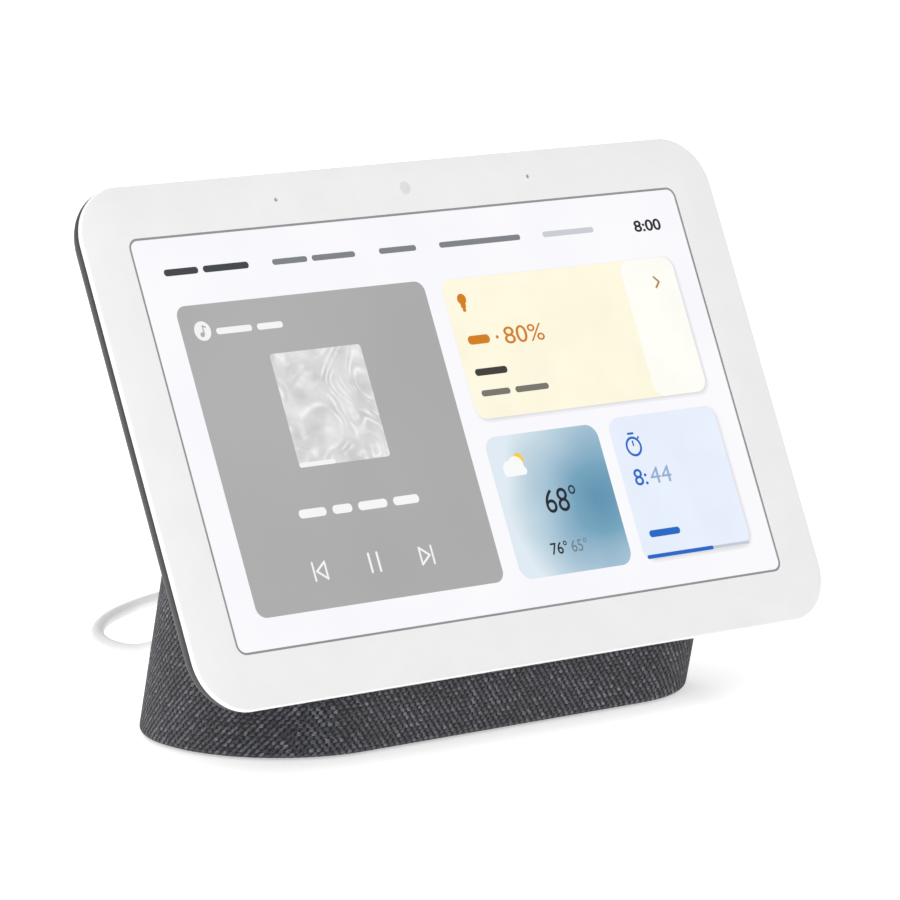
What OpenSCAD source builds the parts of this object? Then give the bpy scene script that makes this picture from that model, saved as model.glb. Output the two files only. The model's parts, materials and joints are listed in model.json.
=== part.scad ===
// Smart display: a tilted touch-screen head on a fabric-covered speaker base, with its mains lead.
// Millimetres. +X is the viewer's right, -Y faces the viewer, +Z is up, and the foot stands on z = 0.

/* [Display head] */
// Width of the cover glass
glass_w = 177.4; // [172:0.2:184]
// Height of the cover glass
glass_h = 114.1; // [113:0.1:117]
// Corner radius of the cover glass
glass_r = 12; // [9:0.5:15]
// Thickness of the cover glass
glass_t = 1.1; // [0.9:0.1:1.2]
// Depth of the head from the glass to the flat of its back
head_t = 11; // [10.8:0.1:11.4]
// Backward tilt of the head from upright, in degrees
tilt = 24; // [22:0.5:25]
// Height of the glass's lower edge above the table
glass_z = 16; // [15:0.2:18]
// Distance of the glass's lower edge in front of the foot's centre
glass_y = 39.9; // [38.9:0.2:41.5]
// Width of the lit picture area
picture_w = 153.6; // [148:0.2:156]
// Height of the lit picture area
picture_h = 90; // [86:0.2:91]

/* [Speaker base] */
// Width of the base column
column_w = 136.8; // [130:0.2:144]
// Depth of the base column, square to its lean
column_d = 59; // [56:0.5:62]
// Corner radius of the base column
column_r = 28.6; // [22:0.2:28.6]
// Forward lean of the base column, in degrees
lean = 13.8; // [12:0.2:15]
// Height at which the back of the column is rounded off
column_top = 89; // [86:0.5:91]
// Thickness of the fabric sleeve
fabric_t = 0.9; // [0.7:0.1:1.1]
// Wall thickness of the speaker housing
housing_t = 2.2; // [1.8:0.1:2.6]

/* [Controls] */
// Length of the volume rocker
rocker_len = 26; // [22:1:28]
// Width of the volume rocker and of the mute slider's slot
control_w = 5.6; // [5:0.1:6]
// Travel of the mute slider
mute_travel = 3; // [2:0.5:3]

/* [Lead] */
// Diameter of the lead
cord_d = 3; // [2.6:0.1:3.2]
// Width of the wall adapter
adapter_w = 40; // [36:1:44]
// Thickness of the wall adapter
adapter_t = 28; // [26:1:30]

/* [Hidden] */

// Colours
dark_shell = "#4c4c50";
charcoal = "#3f3e43";
white_plastic = "#ededeb";
black_plastic = "#232326";
steel = "#b9bcc0";
board_green = "#1f5c3c";
copper = "#b87333";

// Head stack, as distances behind the front of the glass
print_t = 0.15;
gasket_back = 1.65;
frame_back = 5.2;
sensor_back = 1.75;
lcd_back = 3.25;
guide_back = 5.15;
tray_back = 5.75;
spreader_back = 6.55;
board_front = 6.9;
board_back = 7.9;

// Rear cover: a rim, then a quarter ellipse that runs to the flat back
rim_wall = 1;
print_inset = 1.8;
frame_inset = 3;
rim_depth = 1.7;
cover_t = 1.6;
dish_run = 24;
dish_steps = 9;
dish_corner = 6;
corner_steps = 8;
cover_inside = head_t - cover_t;
plate_corner = min(glass_r, 11.5);

// LCD module
lcd_w = 163.9;
lcd_h = 97.1;
picture_v = 57.1;
spreader_w = 132;
spreader_h = 78;
spreader_v = 49;

// Main board, in the head's own coordinates
board_w = 92;
board_h = 50;
board_v = 47;
board_post_x = 42;
board_post_v = [board_v - 21, board_v + 21];
post_x = 54;
post_v = [24, 80];
neck_x = 50;
neck_v = [34, 60];
neck_plate_w = 112;
neck_plate_h = 36;
neck_plate_v = 47;
housing_screw_x = 30;
housing_screw_v = [37, 57];
harness_x = 14;
harness_v = 24;
harness_socket_v = 30.4;
harness_hole_r = 4.8;

// Volume rocker, on the back at the viewer's right
rocker_x = 72;
rocker_v = 60;
rocker_pivot = 7.6;
rocker_pin_r = 0.6;
switch_board_back = 6.4;

// Mute slider, at the top of the back
mute_v = 97;
mute_cap = 9;

// Microphones and sensors in the top border
sensor_v = 108.1;
mic_x = 35.6;

// Column insets, measured square to its wall
housing_inset = fabric_t + 0.1;
cavity_inset = housing_inset + housing_t;
bracket_t = 1.6;
slope_wall = 14.8;

// Speaker, in its own frame: z runs inwards from the housing's inner wall
speaker_z = 37;
speaker_w = 46;
speaker_hole_r = 19.2;
speaker_screw = 19.4;
flange_front = 0.8;
flange_back = 2.4;
basket_r = 20.6;
basket_hole_r = 18.8;
basket_back = 10.5;
magnet_t = 6;
coil_r = 8.1;
surround_r = 17.55;

// Jack and plug, on one axis along Y
jack_x = -30;
jack_z = 10.5;
jack_face = 21.5;
jack_bore_r = 1.96;
barrel_r = 1.9;
grip_r = 4.4;
grip_end = 36;
pocket_r = 7.1;
collar_r = 7;
collar_hole_r = 5.8;

// Base, from the table up
foot_t = 1.2;
plate_top = 3.2;
board_base = 5.1;
board_top = 6.3;
board_posts = [[-51, 0], [-15, 18]];
ballast_x = 38;
ballast_y = -15;
ballast_size = [96, 19, 6];
ballast_screw_r = 1.6;
power_board_size = [42, 24];

// Lead: the loose stretch's route, then the coil and the adapter
cord_route = [
    [-30, 50, 10.5], [-30, 54, 9.8], [-29, 60, 7.9], [-27.6, 65, 6.7], [-25.6, 71, 5.6],
    [-22.9, 78.1, 4.6], [-19.5, 86.8, 3.6], [-14.9, 96.2, 2.9], [-8.1, 107, 2.3], [1.8, 118.1, 1.8],
    [11.5, 125.8, 1.6], [22.5, 131.8, 1.6], [32.9, 136.2, 1.6], [43.5, 138, 1.6], [54, 137.2, 1.6],
    [63, 132.4, 1.6], [68.6, 124.5, 1.6], [70.5, 115, 1.6], [70.5, 108, 1.6]
];
tail_route = [
    [70.5, 108, 10.6], [70.6, 103, 10.3], [71, 98.5, 9.4], [71.6, 94.5, 8.4], [72, 91, 8]
];
coil_centre = [50, 108];
coil_mean_r = 17.5;
coil_columns = 3;
coil_rows = 4;
adapter_x = 58;
adapter_y = 38;
adapter_h = 38;
relief_len = 13;
plug_relief_len = 14;
relief_tip_r = 1.9;
blade_len = 16.5;

function dish_inset(s, wall) = wall + (dish_run - wall) * (1 - cos(s));
function dish_depth(s, wall) = rim_depth + (head_t - rim_depth - wall) * sin(s);
function dish_ring(inset, depth) =
    let (r = glass_r - dish_corner * inset / dish_run)
    [for (c = [[1, 1, 0], [-1, 1, 90], [-1, -1, 180], [1, -1, 270]], k = [0 : corner_steps])
        [c[0] * (glass_w / 2 - inset - r) + r * cos(c[2] + 90 * k / corner_steps),
         glass_h / 2 + c[1] * (glass_h / 2 - inset - r) + r * sin(c[2] + 90 * k / corner_steps),
         -depth]];
function unit(v) = v / norm(v);
function tangent(p, i) = unit(p[min(i + 1, len(p) - 1)] - p[max(i - 1, 0)]);
function sideways(t) = unit(cross(t, [0, 0.001, 1]));
function spline(a, b, c, d, t) =
    0.5 * (2 * b + (c - a) * t + (2 * a - 5 * b + 4 * c - d) * t * t
    + (3 * b - a - 3 * c + d) * t * t * t);
function smoothed(p, steps) = [
    for (i = [0 : len(p) - 2], k = [0 : steps - 1])
        spline(p[max(i - 1, 0)], p[i], p[i + 1], p[min(i + 2, len(p) - 1)], k / steps),
    p[len(p) - 1]
];
function ring_points(p, i, r, sides) =
    let (t = tangent(p, i), a = sideways(t), b = cross(a, t))
    [for (k = [0 : sides - 1]) p[i] + r * (a * cos(360 * k / sides) + b * sin(360 * k / sides))];
function strip_normal(p, i) = let (t = tangent(p, i)) [-t[1], t[0]];
function strip(p, t) = concat(
    [for (i = [0 : len(p) - 1]) p[i] + strip_normal(p, i) * t / 2],
    [for (i = [len(p) - 1 : -1 : 0]) p[i] - strip_normal(p, i) * t / 2]
);

// --- frames of reference ---

// The head's own frame: x as the part's, y up the glass, z out of the glass
module in_head() {
    translate([0, -glass_y, glass_z]) rotate([90 - tilt, 0, 0]) children();
}

// The column's own frame: z up its lean, y square to its back wall
module in_column() {
    rotate([lean, 0, 0]) children();
}

// The speaker's own frame: z from the housing's inner wall into the base
module in_speaker() {
    in_column() translate([0, column_d / 2 - cavity_inset, speaker_z]) rotate([90, 0, 0]) children();
}

// --- shared shapes ---

// Flat plate with true round corners, centred, from z = 0 up
module plate(w, h, r, t) {
    linear_extrude(t) {
        square([w - 2 * r, h], center = true);
        square([w, h - 2 * r], center = true);
        for (x = [-1, 1], y = [-1, 1])
            translate([x * (w / 2 - r), y * (h / 2 - r)]) circle(r, $fn = 64);
    }
}

// Plate in the head, centred on height v, between two depths behind the glass
module head_plate(w, h, r, front, back, v = glass_h / 2) {
    in_head() translate([0, v, -back]) plate(w, h, r, back - front);
}

// Plate of the glass's own outline, drawn in by inset
module inset_plate(inset, front, back) {
    head_plate(glass_w - 2 * inset, glass_h - 2 * inset, plate_corner, front, back);
}

// Box in the head, centred at (x, v), between two depths
module head_box(x, v, w, h, front, back) {
    in_head() translate([x - w / 2, v - h / 2, -back]) cube([w, h, back - front]);
}

// Round bar in the head, square to the glass
module head_rod(x, v, r, front, back) {
    in_head() translate([x, v, -back]) cylinder(r = r, h = back - front, $fn = 48);
}

// Slot with round ends along x in the head
module head_pill_x(x, v, len, w, front, back) {
    head_box(x, v, len - w, w, front, back);
    for (s = [-1, 1]) head_rod(x + s * (len - w) / 2, v, w / 2, front, back);
}

// Slot with round ends along the height of the head
module head_pill_v(x, v, len, w, front, back) {
    head_box(x, v, w, len - w, front, back);
    for (s = [-1, 1]) head_rod(x, v + s * (len - w) / 2, w / 2, front, back);
}

// The head's outer body from depth front back, or its hollow when wall is above 0
module dish(wall, front, grow = 0) {
    rings = concat(
        [[wall == 0 ? -grow : rim_wall, front]],
        [for (k = [0 : dish_steps]) let (s = 90 * k / dish_steps)
            [dish_inset(s, wall) - grow, dish_depth(s, wall) + grow]]
    );
    in_head() loft([for (g = rings) dish_ring(g[0], g[1])]);
}

// Solid through rings of points that all have the same count
module loft(rings) {
    n = len(rings[0]);
    walls = [
        for (i = [0 : len(rings) - 2], k = [0 : n - 1])
            let (a = i * n + k, b = i * n + (k + 1) % n)
            each [[a, b, b + n], [a, b + n, a + n]]
    ];
    ends = [
        [for (k = [n - 1 : -1 : 0]) k],
        [for (k = [0 : n - 1]) (len(rings) - 1) * n + k]
    ];
    polyhedron([for (g = rings) each g], concat(walls, ends), convexity = 4);
}

// Upright column of the base, drawn in by inset, from z = low up
module column(inset, low) {
    intersection() {
        in_column() translate([0, 0, -20])
            plate(column_w - 2 * inset, column_d - 2 * inset, column_r - inset, 140);
        translate([-100, -100, low]) cube([200, 200, column_top - inset - low]);
    }
}

// Everything on the table side of the column behind a plane in the head
module behind_head(depth) {
    in_head() translate([-150, -150, -200]) cube([300, 400, 200 - depth]);
}

// A tube of flat sides swept along points
module swept(p, r, sides = 8) {
    loft([for (i = [0 : len(p) - 1]) ring_points(p, i, r, sides)]);
}

// Screw in the head: head of radius 2r, driven towards the glass
module head_screw(x, v, r, tip, seat, top) {
    head_rod(x, v, r, tip, seat);
    head_rod(x, v, 1.9 * r, seat, top);
}

// --- head ---

module front_glass() color(white_plastic)
    head_plate(glass_w, glass_h, glass_r, 0, glass_t);

// Printed border behind the glass, with the picture's window and two microphone holes
module bezel_print() color(white_plastic) difference() {
    inset_plate(print_inset, glass_t, glass_t + print_t);
    head_plate(picture_w, picture_h, 2, glass_t - 1, glass_t + 1, picture_v);
    for (x = [-mic_x, mic_x]) head_rod(x, sensor_v, 0.5, glass_t - 1, glass_t + 1);
    head_rod(0, sensor_v, 1.3, glass_t - 1, glass_t + 1);
}

module glass_gasket() color(black_plastic) difference() {
    inset_plate(print_inset, glass_t + print_t, gasket_back);
    head_plate(lcd_w + 3, lcd_h + 2.4, 3, glass_t - 1, gasket_back + 1, picture_v);
    for (x = [-mic_x, mic_x]) head_rod(x, sensor_v, 0.8, glass_t - 1, gasket_back + 1);
    head_rod(0, sensor_v, 2, glass_t - 1, gasket_back + 1);
}

module touch_sensor() color("#9fb4bd")
    head_plate(lcd_w - 2, lcd_h - 1, 1, glass_t + print_t, sensor_back, picture_v);

module lcd_panel() color("#5d6f80")
    head_plate(lcd_w, lcd_h, 0.8, sensor_back, lcd_back, picture_v);

module light_guide() color("#dfe9ee")
    head_plate(lcd_w - 3, lcd_h - 3, 0.8, lcd_back, guide_back, picture_v);

// Pressed tray that holds the light guide, open towards the LCD
module backlight_tray() color(steel) difference() {
    head_plate(lcd_w, lcd_h, 0.8, lcd_back, tray_back, picture_v);
    head_plate(lcd_w - 2.4, lcd_h - 2.4, 0.6, lcd_back - 1, guide_back + 0.1, picture_v);
}

// Moulded frame round the LCD
module display_frame() color(black_plastic) difference() {
    inset_plate(frame_inset, gasket_back, 4.2);
    head_plate(lcd_w + 1, lcd_h + 1.1, 1, gasket_back - 1, frame_back + 1, picture_v);
    for (x = [-mic_x, mic_x]) {
        head_rod(x, sensor_v, 0.8, gasket_back - 1, frame_back + 1);
        head_box(x, sensor_v, 10.4, 3.6, 3, frame_back + 1);
    }
    head_box(0, sensor_v, 24.4, 4.4, gasket_back - 1, frame_back + 1);
}

// Aluminium plate with posts for the board, the cover and the neck
module heat_spreader() color("#c9ccd0") difference() {
    union() {
        head_plate(spreader_w, spreader_h, 4, tray_back, spreader_back, spreader_v);
        for (x = [-1, 1]) {
            for (v = board_post_v)
                head_rod(x * board_post_x, v, 2.2, spreader_back, board_front);
            for (v = post_v) head_rod(x * post_x, v, 2.4, spreader_back, cover_inside);
            for (v = neck_v) head_rod(x * neck_x, v, 2.6, spreader_back, cover_inside);
        }
    }
    for (x = [-1, 1]) {
        for (v = board_post_v)
            head_rod(x * board_post_x, v, 0.8, tray_back + 0.1, board_front + 1);
        for (v = post_v) head_rod(x * post_x, v, 1, tray_back + 0.2, head_t);
        for (v = neck_v) head_rod(x * neck_x, v, 1.2, tray_back + 0.4, head_t);
    }
}

module main_board() color(board_green) difference() {
    head_plate(board_w, board_h, 1.5, board_front, board_back, board_v);
    for (x = [-board_post_x, board_post_x], v = board_post_v)
        head_rod(x, v, 0.9, board_front - 1, board_back + 1);
}

// Processor, memory, radio and the board's connectors
module board_chips() color(black_plastic) {
    head_box(-14, 52, 15, 15, board_back, board_back + 0.9);
    head_box(6, 56, 10, 12, board_back, board_back + 0.8);
    head_box(6, 42, 12, 10, board_back, board_back + 0.8);
    head_box(-14, 38, 8, 8, board_back, board_back + 0.7);
    head_box(30, 54, 9, 9, board_back, board_back + 0.9);
    head_box(harness_x, harness_socket_v, 11, 4.4, board_back, board_back + 1.2);
    for (k = [0 : 5])
        head_box(28 + 3 * (k % 3), 40 - 3 * floor(k / 3), 1.8, 1.2, board_back, board_back + 0.6);
}

// Pressed can over the processor and memory
module board_shield() color(steel) difference() {
    head_box(-3, 48, 42, 30, board_back, board_back + 1.3);
    head_box(-3, 48, 41.4, 29.4, board_back - 1, board_back + 1.1);
}

module board_screws() color(steel)
    for (x = [-board_post_x, board_post_x], v = board_post_v)
        head_screw(x, v, 0.8, tray_back + 0.2, board_back, board_back + 0.9);

// Flat cable that wraps the LCD's lower edge and lands on the main board
module lcd_ribbon() color("#b98a3a") {
    path = [[8.27, -3.4], [8.27, -6.7], [9.2, -6.95], [14, -6.95], [18, -8.03], [25, -8.03]];
    in_head() translate([-32, 0, 0]) rotate([90, 0, 90]) linear_extrude(24)
        polygon(strip(path, 0.22));
}

module microphone_boards() color(board_green)
    for (x = [-mic_x, mic_x]) {
        head_box(x, sensor_v, 9.6, 3.2, 3.1, 3.8);
        head_box(x, sensor_v, 3, 2.4, 3.8, 4.8);
    }

// Round sensor window in the border's hole, with its stem
module light_sensor() color("#d9d9d7") {
    head_rod(0, sensor_v, 1.25, glass_t, 2.4);
}

module radar_board() color(board_green) {
    head_box(0, sensor_v, 23.6, 3.8, 2.4, 3.2);
    head_box(-6, sensor_v, 6, 2.8, 3.2, 4);
    head_box(6, sensor_v, 4, 2.8, 3.2, 4);
}

module antennas() color(copper)
    for (x = [-72, 72]) head_box(x, 82, 8, 16, tray_back, tray_back + 0.5);

// Moulded back of the head
module rear_cover() color(dark_shell) difference() {
    dish(0, glass_t);
    dish(cover_t, glass_t - 1);
    head_pill_v(rocker_x, rocker_v, rocker_len + 0.9, control_w + 0.7, 6, 14);
    head_pill_x(mute_travel / 2, mute_v, mute_cap + mute_travel + 0.7, control_w + 0.7, 6, 14);
    head_rod(harness_x, harness_v, 4, 6, 14);
    for (x = [-1, 1]) {
        for (v = post_v) {
            head_rod(x * post_x, v, 1.1, 6, 14);
            head_rod(x * post_x, v, 2.2, head_t - 1, 14);
        }
        for (v = neck_v) head_rod(x * neck_x, v, 1.3, 6, 14);
    }
}

module cover_screws() color(steel)
    for (x = [-post_x, post_x], v = post_v) head_screw(x, v, 1, tray_back + 0.6, head_t - 1, head_t - 0.1);

// --- volume rocker ---

module volume_rocker() color(dark_shell) difference() {
    union() {
        head_pill_v(rocker_x, rocker_v, rocker_len, control_w, 9, head_t + 0.3);
        head_box(rocker_x, rocker_v, 2.6, 2.4, rocker_pivot - 0.4, 9.2);
        head_rod(rocker_x, rocker_v, 1.2, rocker_pivot - 0.9, 9);
        for (s = [-9, 9]) head_rod(rocker_x, rocker_v + s, 1, 7.7, 9.2);
    }
    rocker_axis(rocker_pin_r + 0.05, 8);
}

// Round bar on the rocker's pivot line
module rocker_axis(r, len) {
    in_head() translate([rocker_x - len / 2, rocker_v, -rocker_pivot]) rotate([0, 90, 0])
        cylinder(r = r, h = len, $fn = 32);
}

module rocker_pin() color(steel) rocker_axis(rocker_pin_r, 5.4);

// Two ears that carry the rocker's pin
module rocker_bracket() color(steel) difference() {
    for (s = [-1, 1]) head_box(rocker_x + s * 2.3, rocker_v, 0.8, 2.6, switch_board_back, 8.4);
    rocker_axis(rocker_pin_r, 8);
}

module volume_switch_board() color(board_green) {
    head_box(rocker_x, rocker_v, 5.4, 24, tray_back, switch_board_back);
    for (s = [-9, 9]) head_rod(rocker_x, rocker_v + s, 1.7, switch_board_back, 7.15);
}

// --- mute slider ---

module mute_slider() color(dark_shell) {
    head_pill_x(0, mute_v, mute_cap, control_w, 7.9, head_t - 0.15);
    head_box(0, mute_v, 16, 7.4, 7.3, 7.9);
    head_box(0, mute_v, 1.4, 1.4, 6.75, 7.3);
}

// Bright patch that shows in the slot when the microphones are off
module mute_mark() color("#e8761e")
    head_box(-mute_cap / 2 - 1.75, mute_v, 3.2, 5.6, 7.9, 8);

module mute_switch() color(black_plastic) difference() {
    union() {
        head_box(mute_travel / 2, mute_v, 18, 6.4, tray_back, 6.3);
        head_box(mute_travel / 2, mute_v, 9, 4, 6.3, 7);
    }
    head_box(mute_travel / 2, mute_v, 1.4 + mute_travel + 1, 2, 6.4, 8);
}

// --- neck ---

// Steel plate between the head's back and the housing
module neck_bracket() color(steel) difference() {
    head_plate(neck_plate_w, neck_plate_h, 4, head_t, head_t + bracket_t, neck_plate_v);
    for (x = [-neck_x, neck_x], v = neck_v) head_rod(x, v, 1.2, 8, 15);
    for (x = [-housing_screw_x, housing_screw_x], v = housing_screw_v) head_rod(x, v, 1.2, 8, 15);
}

module neck_screws() color(steel)
    for (x = [-neck_x, neck_x], v = neck_v)
        head_screw(x, v, 1.2, tray_back + 0.8, head_t + bracket_t, head_t + bracket_t + 1.2);

module housing_screws() color(steel)
    for (x = [-housing_screw_x, housing_screw_x], v = housing_screw_v)
        head_screw(x, v, 1.2, head_t + 0.2, slope_wall, slope_wall + 1.6);

// --- base ---

// Rigid shell under the fabric, open at the bottom
module speaker_housing() color(charcoal) difference() {
    column(housing_inset, plate_top);
    dish(0, -150, 0.3);
    housing_cavity();
    head_plate(neck_plate_w + 1, neck_plate_h + 1, 4.5, head_t - 2, head_t + bracket_t, neck_plate_v);
    for (x = [-neck_x, neck_x], v = neck_v) head_rod(x, v, 2.6, 8, head_t + bracket_t + 1.5);
    for (x = [-housing_screw_x, housing_screw_x], v = housing_screw_v) head_rod(x, v, 1.3, 8, 18);
    head_rod(harness_x, harness_v, harness_hole_r, 8, 18);
    in_speaker() translate([0, 0, -8]) cylinder(r = speaker_hole_r, h = 10, $fn = 96);
    for (x = [-speaker_screw, speaker_screw], y = [-speaker_screw, speaker_screw])
        in_speaker() translate([x, y, -1.6]) cylinder(r = 1, h = 3, $fn = 32);
    jack_bore(pocket_r);
}

// Hollow of the housing
module housing_cavity() {
    intersection() {
        column(cavity_inset, plate_top - 1);
        behind_head(slope_wall);
    }
}

// Round bar along the jack's axis, through the back wall
module jack_bore(r, from = 18, to = 40) {
    translate([jack_x, from, jack_z]) rotate([-90, 0, 0]) cylinder(r = r, h = to - from, $fn = 64);
}

// Knitted sleeve bonded round the housing
module fabric_sleeve() color(charcoal) difference() {
    column(0, 0.5);
    dish(0, -150, 0.3);
    column(fabric_t, -1);
    jack_bore(pocket_r);
}

module speaker_gasket() color(black_plastic) in_speaker() difference() {
    cylinder(r = 22.5, h = flange_front, $fn = 96);
    translate([0, 0, -1]) cylinder(r = 19.6, h = 3, $fn = 96);
}

// Square flange, open basket and rear ring
module speaker_basket() color(black_plastic) in_speaker() difference() {
    union() {
        translate([0, 0, flange_front]) plate(speaker_w, speaker_w, 4, flange_back - flange_front);
        translate([0, 0, flange_back]) cylinder(r = basket_r, h = basket_back - flange_back, $fn = 96);
    }
    cylinder(r = basket_hole_r, h = 9.3, $fn = 96);
    translate([0, 0, 9]) cylinder(r = 9.4, h = 4, $fn = 64);
    for (a = [0, 90]) rotate(a + 45) translate([-30, -6, 3.4]) cube([60, 12, 4.6]);
    for (x = [-speaker_screw, speaker_screw], y = [-speaker_screw, speaker_screw])
        translate([x, y, 0]) cylinder(r = 1.15, h = 4, $fn = 32);
}

module speaker_magnet() color("#3c3c3e") in_speaker() translate([0, 0, basket_back]) difference() {
    cylinder(r = 15, h = magnet_t, $fn = 96);
    translate([0, 0, -1]) cylinder(r = 8.6, h = 8, $fn = 64);
}

// Back plate with the pole that the coil runs on
module speaker_yoke() color(steel) in_speaker() {
    translate([0, 0, basket_back + magnet_t]) cylinder(r = 14, h = 1.8, $fn = 96);
    translate([0, 0, 9.6]) cylinder(r = 7.4, h = 7, $fn = 64);
}

module speaker_cone() color("#2b2b2e") in_speaker() rotate_extrude($fn = 96)
    polygon([[8, 6.4], [16.3, 1.4], [16.3, 1.9], [8, 6.9]]);

module voice_coil() color(copper) in_speaker() translate([0, 0, 6.9]) difference() {
    cylinder(r = coil_r, h = 5.6, $fn = 64);
    translate([0, 0, -1]) cylinder(r = coil_r - 0.35, h = 8, $fn = 64);
}

// Domed cap over the coil
module dust_cap() color("#2b2b2e") in_speaker() translate([0, 0, 6.4]) rotate_extrude($fn = 64)
    difference() {
        intersection() {
            translate([0, 9]) circle(12.04, $fn = 96);
            translate([0, -4]) square([8, 4]);
        }
        translate([0, 9]) circle(11.6, $fn = 96);
    }

// Half-roll rubber edge between cone and flange
module speaker_surround() color(black_plastic) in_speaker() translate([0, 0, 1.4])
    rotate_extrude($fn = 96) difference() {
        translate([surround_r, 0]) circle(1.25, $fn = 32);
        translate([surround_r, 0]) circle(0.85, $fn = 32);
        translate([15, 0]) square([5, 3]);
    }

module speaker_spider() color("#b08a50") in_speaker() translate([0, 0, 8.4]) difference() {
    cylinder(r = basket_hole_r, h = 0.4, $fn = 96);
    translate([0, 0, -1]) cylinder(r = coil_r, h = 3, $fn = 64);
}

module speaker_screws() color(steel) in_speaker()
    for (x = [-speaker_screw, speaker_screw], y = [-speaker_screw, speaker_screw])
        translate([x, y, 0]) {
            translate([0, 0, -1.5]) cylinder(r = 1, h = 3.9, $fn = 32);
            translate([0, 0, flange_back]) cylinder(r = 1.9, h = 1.2, $fn = 32);
        }

module ballast_weight() color(steel) difference() {
    translate([-ballast_size[0] / 2, -25.5, plate_top]) cube(ballast_size);
    for (x = [-ballast_x, ballast_x])
        translate([x, ballast_y, 0]) cylinder(r = ballast_screw_r, h = 20, $fn = 32);
}

module power_board() color(board_green) {
    difference() {
        translate([-54, -3, board_base]) cube([each power_board_size, board_top - board_base]);
        for (p = board_posts) translate([p[0], p[1], 0]) cylinder(r = 1.1, h = 10, $fn = 32);
    }
    translate([-48, 8, board_top]) cube([8, 8, 4]);
    translate([-20.5, -1.5, board_top]) cube([7, 4, 2]);
    translate([-22, 5, board_top]) cube([7, 3, 2]);
}

// Socket for the plug's barrel, with its centre pin
module dc_jack() color(black_plastic) {
    difference() {
        translate([jack_x - 4.5, 10, board_top]) cube([9, jack_face - 10, 8.7]);
        jack_bore(jack_bore_r, 11.8, jack_face + 1);
    }
    jack_bore(0.5, 11.5, jack_face - 1);
}

// Ring that lines the jack's pocket, flush with the fabric
module jack_collar() color(black_plastic) difference() {
    intersection() {
        jack_bore(collar_r, jack_face, 40);
        column(-0.3, 0);
    }
    jack_bore(collar_hole_r, jack_face - 1, 41);
}

// Bundle from the main board down to the power board
module head_harness() color("#d8d4c8")
    swept(smoothed([
        [14, -18.6, 36.6], [14, -16.2, 32.2], [13.4, -12.6, 28.4], [9, -9.6, 21],
        [-1, -7, 14.2], [-11, -3.4, 10.4], [-17, 0.6, 9.6]
    ], 3), 0.9);

// Two wires from the speaker's tab to the power board
module speaker_wires() color("#a03030")
    for (s = [0, 1.8])
        swept(smoothed([
            [-22 - s, 12.4, 33], [-25 - s, 10.4, 27], [-25 - s, 8, 20], [-22 - s, 6.6, 13],
            [-18 - s, 6.5, 8.3]
        ], 3), 0.6);

// Closing plate of the base, with posts for the power board
module base_plate() color(black_plastic) difference() {
    union() {
        column_slice(housing_inset, foot_t, plate_top);
        for (p = board_posts)
            translate([p[0], p[1], plate_top]) cylinder(r = 2, h = board_base - plate_top, $fn = 48);
    }
    for (p = board_posts) translate([p[0], p[1], plate_top - 1]) cylinder(r = 0.9, h = 4, $fn = 32);
    for (x = [-ballast_x, ballast_x])
        translate([x, ballast_y, 0]) cylinder(r = ballast_screw_r, h = 8, $fn = 32);
}

// Slice of the column between two heights
module column_slice(inset, low, high) {
    intersection() {
        column(inset, low);
        translate([-100, -100, low]) cube([200, 200, high - low]);
    }
}

// Screws that hold the ballast to the plate, and the power board to its posts
module base_screws() color(steel) {
    for (x = [-ballast_x, ballast_x]) {
        translate([x, ballast_y, foot_t]) cylinder(r = ballast_screw_r, h = 8, $fn = 32);
        translate([x, ballast_y, plate_top + ballast_size[2]]) cylinder(r = 3, h = 1.2, $fn = 32);
    }
    for (p = board_posts) {
        translate([p[0], p[1], plate_top - 0.2]) cylinder(r = 0.9, h = board_top - plate_top + 0.2, $fn = 32);
        translate([p[0], p[1], board_top]) cylinder(r = 1.8, h = 1, $fn = 32);
    }
}

module rubber_foot() color("#2e2e30") plate(122, 46, 22, foot_t);

// --- lead ---

// Straight plug with its barrel and a grip with shallow rings
module dc_plug() color(white_plastic) difference() {
    union() {
        jack_bore(grip_r, jack_face + 0.3, grip_end);
        jack_bore(barrel_r, 12.3, jack_face + 0.4);
    }
    jack_bore(0.8, 12, 21);
    for (y = [29, 31, 33]) difference() {
        jack_bore(6, y, y + 0.8);
        jack_bore(4.1, y - 1, y + 2);
    }
}

// Tapered sleeve where the cord leaves the plug
module plug_relief() color(white_plastic) translate([jack_x, grip_end, jack_z]) rotate([-90, 0, 0])
    cylinder(r1 = 3, r2 = relief_tip_r, h = plug_relief_len, $fn = 48);

module power_cord() color("#f2f2f0") {
    swept(smoothed(cord_route, 3), cord_d / 2);
    swept(smoothed(tail_route, 2), cord_d / 2);
}

module cord_coil() color("#f2f2f0") {
    inner = coil_mean_r - coil_columns * cord_d / 2;
    translate([coil_centre[0], coil_centre[1], 0.1]) rotate_extrude($fn = 96)
        translate([inner, 0]) square([coil_columns * cord_d, coil_rows * cord_d]);
}

// Strap round the coil's turns
module coil_tie() color(charcoal) translate([coil_centre[0] - coil_mean_r, coil_centre[1], 0]) difference() {
    translate([-5.3, -3.5, 0]) cube([10.6, 7, 12.9]);
    translate([-4.6, -5, -1]) cube([9.2, 10, 13.2]);
}

module adapter_relief() color(white_plastic)
    translate([adapter_x + adapter_t / 2, adapter_y + adapter_w, 8]) rotate([-90, 0, 0])
        cylinder(r1 = 3.2, r2 = relief_tip_r, h = relief_len, $fn = 48);

// Wall adapter lying on its side, with the blades towards the middle
module power_adapter() color(white_plastic)
    translate([adapter_x, adapter_y + adapter_w / 2, adapter_h / 2]) rotate([0, 90, 0])
        plate(adapter_h, adapter_w, 5, adapter_t);

module adapter_blades() color(steel)
    for (s = [-1, 1])
        translate([adapter_x - blade_len, adapter_y + adapter_w / 2 + s * 6.35 - 0.75, adapter_h / 2 - 3.1])
            cube([blade_len, 1.5, 6.2]);

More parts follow.
